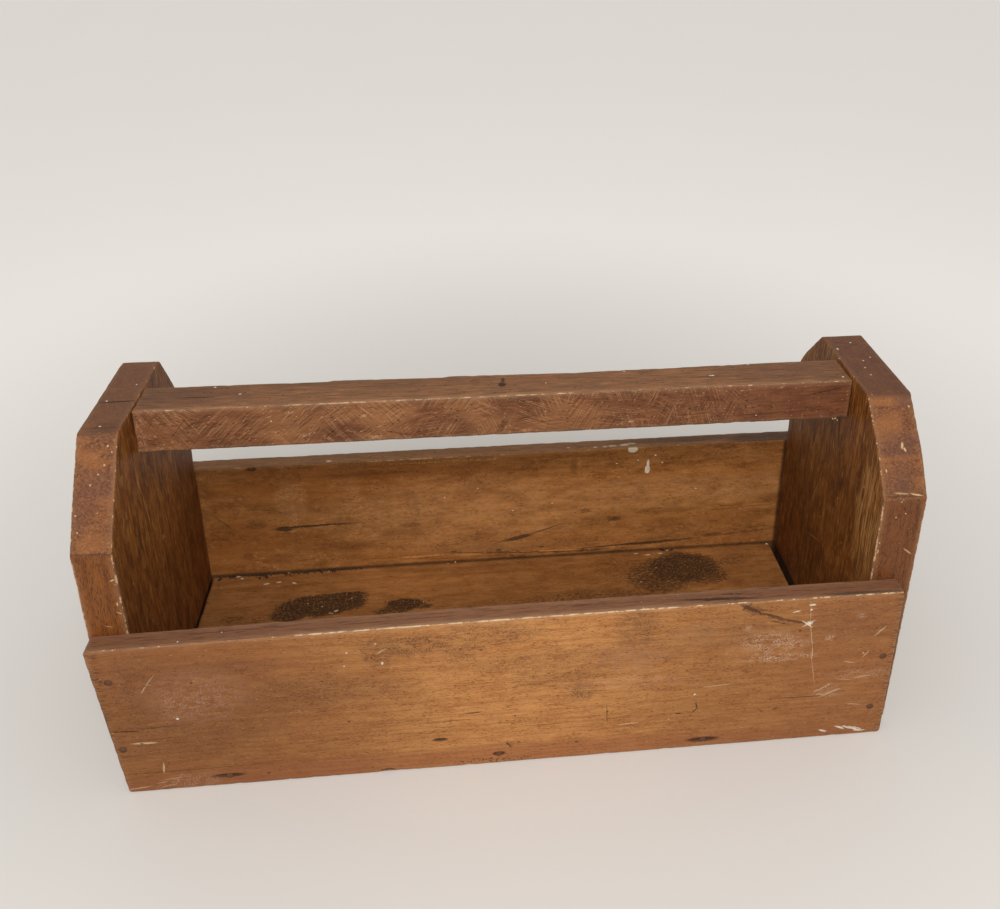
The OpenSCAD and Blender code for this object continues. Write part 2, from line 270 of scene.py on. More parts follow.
def weather(bm, planes, wear, seed):
    """Chips the edges and takes the faces a little out of flat, always inwards."""
    depth, reach, wave = wear.chip_depth / MM, wear.chip_reach / MM, wear.waviness / MM
    offset = Vector((seed * 17.3, seed * 5.1, -seed * 9.7))
    bm.normal_update()
    moves = []
    for vert in bm.verts:
        point = vert.co + offset
        edge = edge_distances(vert.co, planes)[2]
        sunk = wave * (0.5 + 0.5 * noise.noise(point / WAVE_LENGTH))
        if edge < reach:
            chip = max(0.0, noise.noise(point / CHIP_LENGTH) - 0.16)
            crumble = max(0.0, noise.noise(point / CRUMBLE_LENGTH) - 0.05)
            nibble = 0.55 * chip + 0.6 * crumble
            sunk += depth * min(1.6, nibble * 1.7) * (1 - edge / reach) ** 1.5
        moves.append(vert.normal * -sunk)
    for vert, move in zip(bm.verts, moves):
        vert.co += move


def to_object(bm, name):
    """Turns a bmesh in millimetres into an object in metres at the origin."""
    bmesh.ops.scale(bm, vec=(MM, MM, MM), verts=bm.verts[:])
    mesh = bpy.data.meshes.new(name)
    bm.to_mesh(mesh)
    bm.free()
    piece = bpy.data.objects.new(name, mesh)
    bpy.context.scene.collection.objects.link(piece)
    return piece


def carve(piece, cutter_bm):
    """Takes the closed shapes of cutter_bm out of a piece."""
    cutter = to_object(cutter_bm, piece.name + "_cutter")
    hollow = piece.modifiers.new("hollows", "BOOLEAN")
    hollow.operation = "DIFFERENCE"
    hollow.solver = "EXACT"
    hollow.object = cutter
    evaluated = piece.evaluated_get(bpy.context.evaluated_depsgraph_get())
    carved = bpy.data.meshes.new_from_object(evaluated)
    old = piece.data
    piece.modifiers.clear()
    piece.data = carved
    bpy.data.meshes.remove(old)
    carved.name = piece.name
    tool = cutter.data
    bpy.data.objects.remove(cutter)
    bpy.data.meshes.remove(tool)


def mark_edges(piece, planes, worn, tops=("top",)):
    """Stores how far each point is from an edge, in centimetres, how worn that edge is, and what is a top."""
    mesh = piece.data
    names = ("edge_distance", "edge_wear", "top_face")
    distance, strength, top = (mesh.attributes.new(name, "FLOAT", "POINT") for name in names)
    for index, vert in enumerate(mesh.vertices):
        point = vert.co / MM
        first, second, away = edge_distances(point, planes)
        distance.data[index].value = min(away / 10, 2.0)
        strength.data[index].value = worn(frozenset((first, second)), point)
        top.data[index].value = 1.0 if first in tops else 0.0


def finish_piece(piece, material, nodes, sharp=32):
    """Shades a piece, gives it its material and ties it to the frame."""
    piece.data.shade_smooth()
    piece.data.set_sharp_from_angle(angle=math.radians(sharp))
    piece.data.materials.clear()
    piece.data.materials.append(material)
    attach(piece, "root")
    if nodes:
        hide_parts(*nodes)


def lens(bm, centre, radii, turn=0.0, axis="Y"):
    """Adds a closed oval shape, turned by degrees about an axis."""
    made = bmesh.ops.create_uvsphere(bm, u_segments=24, v_segments=12, radius=1.0)["verts"]
    bmesh.ops.scale(bm, vec=radii, verts=made)
    bmesh.ops.rotate(bm, verts=made, cent=(0, 0, 0), matrix=Matrix.Rotation(math.radians(turn), 3, axis))
    bmesh.ops.translate(bm, vec=centre, verts=made)


# --------------------------------------------------------------------------------------
# Nails, and the hollows cut for them
# --------------------------------------------------------------------------------------

NAIL_HEAD_THICKNESS = 1.4
NAIL_SET = 0.3
NAIL_POINT = 6.0
NAIL_TIP = 0.4
HOLE_MOUTH = 3.0


class Nail:
    """One nail: where its head is, which way it is driven, its length, shank and head."""

    def __init__(self, place, inward, length, shank, head):
        self.place, self.inward, self.length, self.shank, self.head = place, inward, length, shank, head

    def matrix(self):
        return Matrix.Translation(self.place) @ (-self.inward).to_track_quat("Z", "Y").to_matrix().to_4x4()


def clusters(values, gap=3.0):
    """Middles of the groups that sorted values fall into, where a wider gap parts them."""
    groups = [[]]
    for value in sorted(values):
        if groups[-1] and value - groups[-1][-1] > gap:
            groups.append([])
        groups[-1].append(value)
    return [(group[0] + group[-1]) / 2 for group in groups]


def nails_of(node):
    """The nails of a CAD node: their places and lengths are read from its mesh, one group of points each."""
    shape = bpy.context.scene.caddy_shape
    side, place = node.split("_")[:2]
    if place == "handle":
        inward = Vector((1, 0, 0)) if side == "left" else Vector((-1, 0, 0))
        head, shank = shape.bar_nail_head / MM, shape.bar_nail_shank / MM
    else:
        inward = Vector((0, 1, 0)) if side == "front" else Vector((0, -1, 0))
        head, shank = shape.side_nail_head / MM, shape.side_nail_shank / MM
    across = Vector((inward.y, inward.x, 0))
    points = [vert.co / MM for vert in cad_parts[node].data.vertices]
    rows = []
    for split in clusters([p.z for p in points]) if place != "bottom" else [None]:
        near = [p for p in points if split is None or abs(p.z - split) < head]
        for middle in clusters([p.dot(across) for p in near]):
            one = [p for p in near if abs(p.dot(across) - middle) < head]
            depths = [p.dot(inward) for p in one]
            ups = [p.z for p in one]
            up = (min(ups) + max(ups)) / 2
            start = min(depths) - NAIL_SET
            rows.append(Nail(inward * start + across * middle + Vector((0, 0, up)), inward,
                             max(depths) - min(depths), shank, head))
    return rows


def spin_profile(bm, profile, matrix, steps=20):
    """Spins a profile of (radius, height) pairs, from axis to axis, into a closed shape."""
    verts = [bm.verts.new((radius, 0, height)) for radius, height in profile]
    edges = [bm.edges.new(pair) for pair in zip(verts, verts[1:])]
    bmesh.ops.spin(bm, geom=verts + edges, cent=(0, 0, 0), axis=(0, 0, 1), dvec=(0, 0, 0),
                   angle=math.tau, steps=steps, use_merge=True, use_duplicate=False)
    made = set()
    stack = [verts[0]]
    while stack:
        vert = stack.pop()
        if vert not in made:
            made.add(vert)
            stack.extend(edge.other_vert(vert) for edge in vert.link_edges)
    bmesh.ops.transform(bm, matrix=matrix, verts=list(made))


def nail_profile(nail, grow=0.0, mouth=0.0):
    """A nail's outline from the top of its head to its tip, or its hole's with some clearance."""
    top, head, shank = mouth - NAIL_SET, nail.head / 2 + grow, nail.shank / 2 + grow
    seat = -NAIL_SET - NAIL_HEAD_THICKNESS
    end = -NAIL_SET - nail.length
    if mouth:
        return [(0, mouth), (head, mouth), (head, seat), (shank, seat), (shank, end + NAIL_POINT),
                (NAIL_TIP / 2, end - grow), (0, end - grow)]
    return [(0, top - 0.05), (head * 0.55, top), (head * 0.86, top - 0.08), (head, top - 0.3),
            (head * 0.98, seat + 0.25), (head * 0.8, seat), (shank, seat), (shank, end + NAIL_POINT),
            (NAIL_TIP / 2, end), (0, end)]


def tidy(bm):
    """Merges doubles and turns every face outwards."""
    bmesh.ops.remove_doubles(bm, verts=bm.verts[:], dist=0.002)
    bmesh.ops.recalc_face_normals(bm, faces=bm.faces[:])


def drill(piece, nodes):
    """Cuts the holes of every nail of some CAD nodes."""
    grow = bpy.context.scene.caddy_shape.nail_clearance / MM
    bm = bmesh.new()
    for node in nodes:
        for nail in nails_of(node):
            spin_profile(bm, nail_profile(nail, grow, HOLE_MOUTH), nail.matrix())
    tidy(bm)
    carve(piece, bm)


def hollow_out(piece, hollows):
    """Cuts oval hollows, each given as the values of a lens."""
    for hollow in hollows:
        bm = bmesh.new()
        lens(bm, *hollow)
        carve(piece, bm)


# --------------------------------------------------------------------------------------
# Wiring of materials
# --------------------------------------------------------------------------------------


class Graph:
    """Adds nodes to one tree and joins them."""

    def __init__(self, tree):
        self.tree = tree

    def feed(self, socket, value):
        if isinstance(value, bpy.types.NodeSocket):
            self.tree.links.new(value, socket)
        elif value is not None:
            socket.default_value = value

    def add(self, kind, **settings):
        node = self.tree.nodes.new(kind)
        for name, value in settings.items():
            setattr(node, name, value)
        return node

    def math(self, operation, first, second=None, third=None):
        node = self.add("ShaderNodeMath", operation=operation)
        for socket, value in zip(node.inputs, (first, second, third)):
            self.feed(socket, value)
        return node.outputs[0]

    def vector(self, operation, first, second=None, scale=None):
        node = self.add("ShaderNodeVectorMath", operation=operation)
        self.feed(node.inputs[0], first)
        self.feed(node.inputs[1], second)
        if scale is not None:
            self.feed(node.inputs["Scale"], scale)
        return node.outputs["Value" if operation in ("LENGTH", "DOT_PRODUCT") else "Vector"]

    def split(self, point):
        node = self.add("ShaderNodeSeparateXYZ")
        self.feed(node.inputs[0], point)
        return node.outputs

    def join(self, x=0.0, y=0.0, z=0.0):
        node = self.add("ShaderNodeCombineXYZ")
        for socket, value in zip(node.inputs, (x, y, z)):
            self.feed(socket, value)
        return node.outputs[0]

    def ramp(self, value, start, end, low=0.0, high=1.0):
        """Rises smoothly from low to high while the value goes from start to end."""
        node = self.add("ShaderNodeMapRange", interpolation_type="SMOOTHSTEP", clamp=False)
        for name, item in zip(("Value", "From Min", "From Max", "To Min", "To Max"), (value, start, end, low, high)):
            self.feed(node.inputs[name], item)
        return node.outputs["Result"]

    def tint(self, share, colour, other):
        """A colour with a share of another laid over it."""
        node = self.add("ShaderNodeMix", data_type="RGBA")
        for index, item in ((0, share), (6, colour), (7, other)):
            self.feed(node.inputs[index], opaque(item) if isinstance(item, tuple) else item)
        return node.outputs[2]

    def between(self, share, low, high):
        """A number part of the way from low to high."""
        node = self.add("ShaderNodeMix", data_type="FLOAT")
        for index, item in ((0, share), (2, low), (3, high)):
            self.feed(node.inputs[index], item)
        return node.outputs[0]

    def noise(self, point, stretch=(1, 1, 1), detail=2.0, roughness=0.5, output="Fac"):
        """Noise whose lumps are about as long as stretch, in millimetres, along each axis."""
        shrunk = self.vector("DIVIDE", point, stretch)
        node = self.add("ShaderNodeTexNoise")
        for name, item in zip(("Vector", "Scale", "Detail", "Roughness"), (shrunk, 1.0, detail, roughness)):
            self.feed(node.inputs[name], item)
        return node.outputs[output]

    def group(self, name, **inputs):
        node = self.add("ShaderNodeGroup", node_tree=bpy.data.node_groups[name])
        for label, value in inputs.items():
            self.feed(node.inputs[label.replace("_", " ")], value)
        return node.outputs


def new_group(name, inputs, outputs):
    """Starts a node group with named sockets, and gives its graph, its inputs and its output node."""
    tree = bpy.data.node_groups.new(name, "ShaderNodeTree")
    for label, default in inputs.items():
        kind = "NodeSocketVector" if isinstance(default, tuple) else "NodeSocketFloat"
        tree.interface.new_socket(label, in_out="INPUT", socket_type=kind).default_value = default
    for label in outputs:
        tree.interface.new_socket(label, in_out="OUTPUT", socket_type="NodeSocketFloat")
    graph = Graph(tree)
    return graph, graph.add("NodeGroupInput").outputs, graph.add("NodeGroupOutput").inputs


def build_wood_grain():
    """Growth rings about a pith, long fibres, short dark dashes and two sizes of mottling."""
    graph, given, out = new_group(
        "wood_grain",
        {"Point": NO_POINT, "Pith": NO_POINT, "Ring Width": 4.0, "Ring Wander": 6.0, "Dash Length": 3.4},
        ("Rings", "Fibres", "Dashes", "Mottle", "Cloud"),
    )
    point = given["Point"]
    wander = graph.vector("SUBTRACT", graph.noise(point, (160, 45, 45), 2.0, output="Color"), (0.5, 0.5, 0.5))
    wander = graph.vector("SCALE", wander, scale=given["Ring Wander"])
    ripple = graph.vector("SUBTRACT", graph.noise(point, (28, 5, 5), 2.0, output="Color"), (0.5, 0.5, 0.5))
    moved = graph.vector("ADD", graph.vector("ADD", point, wander), graph.vector("SCALE", ripple, scale=1.1))
    away = graph.vector("MULTIPLY", graph.vector("SUBTRACT", moved, given["Pith"]), (0.0, 1.0, 1.0))
    count = graph.math("DIVIDE", graph.vector("LENGTH", away), given["Ring Width"])
    part = graph.math("FRACT", count)
    line = graph.math("MULTIPLY", graph.ramp(part, 0.3, 0.9), graph.ramp(part, 1.0, 0.93))
    uneven = graph.noise(graph.join(graph.math("FLOOR", count), 0.0, 0.0), (1.7, 1, 1), 0.0)
    graph.feed(out["Rings"], graph.math("MULTIPLY", line, graph.ramp(uneven, 0.3, 0.65, 0.25, 1.0)))
    graph.feed(out["Fibres"], graph.noise(moved, (26, 0.9, 0.9), 3.0, 0.6))
    mottle = graph.ramp(graph.noise(moved, (26, 9, 9), 3.0, 0.6), 0.34, 0.66)
    graph.feed(out["Mottle"], mottle)
    stretched = graph.join(given["Dash Length"], 0.75, 0.75)
    dashes = graph.ramp(graph.noise(moved, stretched, 3.0, 0.6), 0.5, 0.66)
    graph.feed(out["Dashes"], graph.math("MULTIPLY", dashes, graph.math("MULTIPLY_ADD", mottle, 0.6, 0.4)))
    graph.feed(out["Cloud"], graph.ramp(graph.noise(point, (120, 38, 38), 2.0, 0.5), 0.32, 0.68))


def build_blot():
    """A soft-edged oval mark, laid over the marks before it. Across and Along are one over its radii."""
    graph, given, out = new_group(
        "blot",
        {"Before": 0.0, "Point": NO_POINT, "Centre": NO_POINT, "Across": (1.0, 0.0, 0.0),
         "Along": (0.0, 1.0, 0.0), "Rim": 1.69, "Core": 0.49, "Strength": 1.0},
        ("Mask",),
    )
    arm = graph.vector("SUBTRACT", given["Point"], given["Centre"])
    across = graph.vector("DOT_PRODUCT", arm, given["Across"])
    along = graph.vector("DOT_PRODUCT", arm, given["Along"])
    square = graph.math("MULTIPLY_ADD", along, along, graph.math("MULTIPLY", across, across))
    mask = graph.ramp(square, given["Rim"], given["Core"], 0.0, given["Strength"])
    graph.feed(out["Mask"], graph.math("MAXIMUM", mask, given["Before"]))


def build_flecks():
    """Scattered specks or short dashes of varied size, in a share of the cells that they fall in."""
    graph, given, out = new_group(
        "flecks",
        {"Point": NO_POINT, "Spacing": (10.0, 10.0, 10.0), "Share": 0.3, "Size": 0.12},
        ("Mask",),
    )
    spread = graph.vector("DIVIDE", given["Point"], given["Spacing"])
    cells = graph.add("ShaderNodeTexVoronoi", feature="F1")
    graph.feed(cells.inputs["Vector"], spread)
    graph.feed(cells.inputs["Scale"], 1.0)
    luck = graph.split(cells.outputs["Color"])
    size = graph.math("MULTIPLY", graph.ramp(luck[1], 0.0, 1.0, 0.45, 1.25), given["Size"])
    dot = graph.ramp(cells.outputs["Distance"], size, graph.math("MULTIPLY", size, 0.55))
    chosen = graph.math("LESS_THAN", luck[0], given["Share"])
    graph.feed(out["Mask"], graph.math("MULTIPLY", dot, chosen))


def build_edge_wear():
    """Bare wood along the edges, broken up, from the distance and wear stored on the mesh."""
    graph, given, out = new_group("edge_wear", {"Point": NO_POINT, "Reach": 1.0}, ("Bare", "Rubbed"))
    distance = graph.add("ShaderNodeAttribute", attribute_name="edge_distance")
    worn = graph.add("ShaderNodeAttribute", attribute_name="edge_wear")
    millimetres = graph.math("MULTIPLY", distance.outputs["Fac"], 10.0)
    strength = worn.outputs["Fac"]
    broken = graph.noise(given["Point"], (9, 5, 9), 4.0, 0.65)
    level = graph.math("ADD", strength, graph.ramp(broken, 0.25, 0.75, -0.75, 0.75))
    reach = graph.math("MULTIPLY", graph.ramp(level, 0.3, 1.3), given["Reach"])
    reach = graph.math("MULTIPLY", reach, 2.4)
    graph.feed(out["Bare"], graph.ramp(millimetres, reach, graph.math("MULTIPLY", reach, 0.45)))
    graph.feed(out["Rubbed"], graph.math("MULTIPLY", graph.ramp(millimetres, 7.0, 0.0), strength))


def build_saw_arcs():
    """Fine curved saw scratches, in patches, about a centre a long way off."""
    graph, given, out = new_group(
        "saw_arcs", {"Point": NO_POINT, "Centre": NO_POINT, "Spacing": 1.6, "Seed": 0.0}, ("Mask",)
    )
    arm = graph.vector("SUBTRACT", given["Point"], given["Centre"])
    shaken = graph.math("ADD", graph.vector("LENGTH", arm), graph.noise(given["Point"], (14, 14, 14), 1.0))
    parts = graph.split(arm)
    turn = graph.math("MULTIPLY", graph.math("ARCTAN2", parts[1], parts[0]), 9.0)
    polar = graph.join(graph.math("DIVIDE", shaken, given["Spacing"]), turn, given["Seed"])
    lines = graph.noise(polar, (1, 1, 1), 2.0, 0.6)
    shifted = graph.vector("ADD", given["Point"], graph.join(0.0, 0.0, given["Seed"]))
    patches = graph.noise(shifted, (30, 18, 1), 2.0)
    scratched = graph.math("MULTIPLY", graph.ramp(lines, 0.5, 0.66), graph.ramp(patches, 0.36, 0.62))
    graph.feed(out["Mask"], scratched)


def build_groups():
    """Makes the node groups that the finishes share."""
    for build in (build_wood_grain, build_blot, build_flecks, build_edge_wear, build_saw_arcs):
        build()


# --------------------------------------------------------------------------------------
# Wood and steel. Marks are placed in millimetres on the face that they are on. An oval is a
# row of numbers: place across and along, half its length and height, then softness, strength
# and turn in degrees. A scratch is the row that line() makes of its two ends. The colours of
# the woods are 0-255 screen values
# --------------------------------------------------------------------------------------

PALE_SCRAPE = (232, 198, 156)
OFF_WHITE = (240, 228, 208)
SPLIT_DARK = (46, 27, 15)
WOOD_SHINE = 0.26


def oval(across, along, half_across, half_along, soft=0.3, strength=1.0, turn=0.0):
    """The inputs of one blot, from the row of numbers of an oval mark."""
    cos, sin = math.cos(math.radians(turn)), math.sin(math.radians(turn))
    return {"Centre": (across, along, 0.0), "Across": (cos / half_across, sin / half_across, 0.0),
            "Along": (-sin / half_along, cos / half_along, 0.0),
            "Rim": (1 + soft) ** 2, "Core": (1 - soft) ** 2, "Strength": strength}


def line(start_across, start_along, end_across, end_along, width=0.9, strength=1.0):
    """A straight scratch on a face, thinner towards its ends: the values of a slim oval."""
    reach = Vector((end_across - start_across, end_along - start_along))
    turn = math.degrees(math.atan2(reach.y, reach.x))
    return ((start_across + end_across) / 2, (start_along + end_along) / 2, reach.length / 2 + width * 0.3,
            width * 0.55, 0.4, strength, turn)


def nail_rims(*nodes):
    """Dark rims around the heads of nails in the front or the back, a little wider than the heads."""
    nails = [nail for node in nodes for nail in nails_of(node)]
    return [(nail.place.x, nail.place.z, nail.head * 0.6, nail.head * 0.58, 0.2) for nail in nails]


class WoodFinish(Graph):
    """The colour, roughness and relief of one board, laid on step by step."""

    def __init__(self, name, grain_axis, pith, ring_width, wander=6.0, dash=3.4):
        material = bpy.data.materials.new(name)
        material.use_nodes = True
        super().__init__(material.node_tree)
        self.shader = self.tree.nodes["Principled BSDF"]
        place = self.add("ShaderNodeTexCoord").outputs["Object"]
        self.point = self.vector("SCALE", place, scale=1 / MM)
        self.x, self.y, self.z = self.split(self.point)
        along = {"X": (self.x, self.y, self.z), "Z": (self.z, self.y, self.x)}[grain_axis]
        self.along_grain = self.join(*along)
        self.grain = self.group("wood_grain", Point=self.along_grain, Pith=pith, Ring_Width=ring_width,
                                Ring_Wander=wander, Dash_Length=dash)
        self.colour, self.rough, self.height = None, 0.56, 0.0
        self.top_face = self.add("ShaderNodeAttribute", attribute_name="top_face").outputs["Fac"]
        self.fine = self.vector("SUBTRACT", self.noise(self.point, (3, 3, 3), 2.0, output="Color"), (0.5, 0.5, 0.5))
        self.broad = self.vector("SUBTRACT", self.noise(self.point, (17, 17, 17), 4.0, 0.65, output="Color"),
                                 (0.5, 0.5, 0.5))
        self.broken = self.math("MULTIPLY", self.ramp(self.noise(self.point, (1.5, 1.5, 1.5), 3.0, 0.65), 0.44, 0.58),
                                self.ramp(self.noise(self.along_grain, (10, 5, 5), 3.0, 0.6), 0.38, 0.56))

    def lay(self, mask, colour, share=1.0, rough=None, relief=0.0):
        """Lays a share of a colour where the mask is, with its own roughness, and sinks or raises it."""
        amount = mask if share == 1.0 else self.math("MULTIPLY", mask, share)
        self.colour = self.tint(amount, self.colour, tone(*colour))
        if rough is not None:
            self.rough = self.between(amount, self.rough, rough)
        if relief:
            self.height = self.math("MULTIPLY_ADD", mask, relief, self.height)

    def base(self, light, dark, ring, dash, pale, rings=0.4, dashes=0.5, mottle=0.6, fibres=0.4):
        """The plain wood: mottled, ringed and flecked."""
        grain = self.grain
        self.colour = self.tint(self.math("MULTIPLY", grain["Mottle"], mottle), tone(*light), tone(*dark))
        self.lay(grain["Cloud"], dark, 0.35)
        self.lay(self.ramp(grain["Fibres"], 0.5, 0.72), pale, fibres, relief=0.04)
        self.lay(self.ramp(grain["Fibres"], 0.46, 0.3), dash, fibres * 0.7, relief=-0.05)
        self.lay(grain["Rings"], ring, rings, 0.5, 0.06)
        self.lay(grain["Dashes"], dash, dashes, 0.66, -0.09)

    def face_point(self, face, shake=0.0, broad=0.0):
        """The place on a face: across and up for front, across and back for top, back and up for side."""
        flat = {"front": (self.x, self.z), "top": (self.x, self.y), "side": (self.y, self.z)}[face]
        point = self.join(*flat)
        if shake:
            point = self.vector("ADD", point, self.vector("SCALE", self.fine, scale=shake * 2))
        if broad:
            point = self.vector("ADD", point, self.vector("SCALE", self.broad, scale=broad * 2))
        return self.vector("MULTIPLY", point, (1.0, 1.0, 0.0))

    def gather(self, face, marks, within=None, shake=0.6, broad=0.0, broken=False):
        """One mask of ovals on a face, each a row of the values of oval(), kept to where that face is."""
        point, mask = self.face_point(face, shake, broad), 0.0
        for mark in marks:
            mask = self.group("blot", Before=mask, Point=point, **oval(*mark))["Mask"]
        if within is not None:
            mask = self.math("MULTIPLY", mask, within)
        return self.math("MULTIPLY", mask, self.broken) if broken else mask

    def both(self, first, second):
        """A mask of where two masks overlap."""
        return self.math("MULTIPLY", first, second)

    def patches(self, stretch, start, end, detail=2.0, roughness=0.5):
        """Patches about as long as stretch, where noise rises from start to end."""
        return self.ramp(self.noise(self.point, stretch, detail, roughness), start, end)

    def specks(self, spacing, share, size, colour, amount=1.0, stretch=(1, 1, 1), relief=0.0, within=None):
        """Scattered specks or dashes over the whole board."""
        cells = tuple(spacing * s for s in stretch)
        mask = self.group("flecks", Point=self.along_grain, Spacing=cells, Share=share, Size=size)["Mask"]
        if within is not None:
            mask = self.both(mask, within)
        self.lay(mask, colour, amount, 0.7, relief)

    def wear(self, bare, reach=1.0, amount=0.9):
        """Bare wood along the worn edges."""
        edge = self.group("edge_wear", Point=self.point, Reach=reach)
        self.lay(edge["Rubbed"], bare, 0.16, 0.45)
        self.lay(edge["Bare"], bare, amount, 0.62, -0.12)

    def finish(self):
        """Joins the colour, roughness and relief to the shader."""
        self.feed(self.shader.inputs["Base Color"], self.colour)
        grit = self.ramp(self.noise(self.point, (1.3, 1.3, 1.3), 2.0), 0.3, 0.7, -0.06, 0.06)
        self.feed(self.shader.inputs["Roughness"], self.math("ADD", self.rough, grit))
        bump = self.add("ShaderNodeBump")
        self.feed(bump.inputs["Strength"], 1.0)
        self.feed(bump.inputs["Distance"], MM)
        self.feed(bump.inputs["Height"], self.height)
        self.feed(self.shader.inputs["Normal"], bump.outputs[0])
        self.shader.inputs["Specular IOR Level"].default_value = WOOD_SHINE


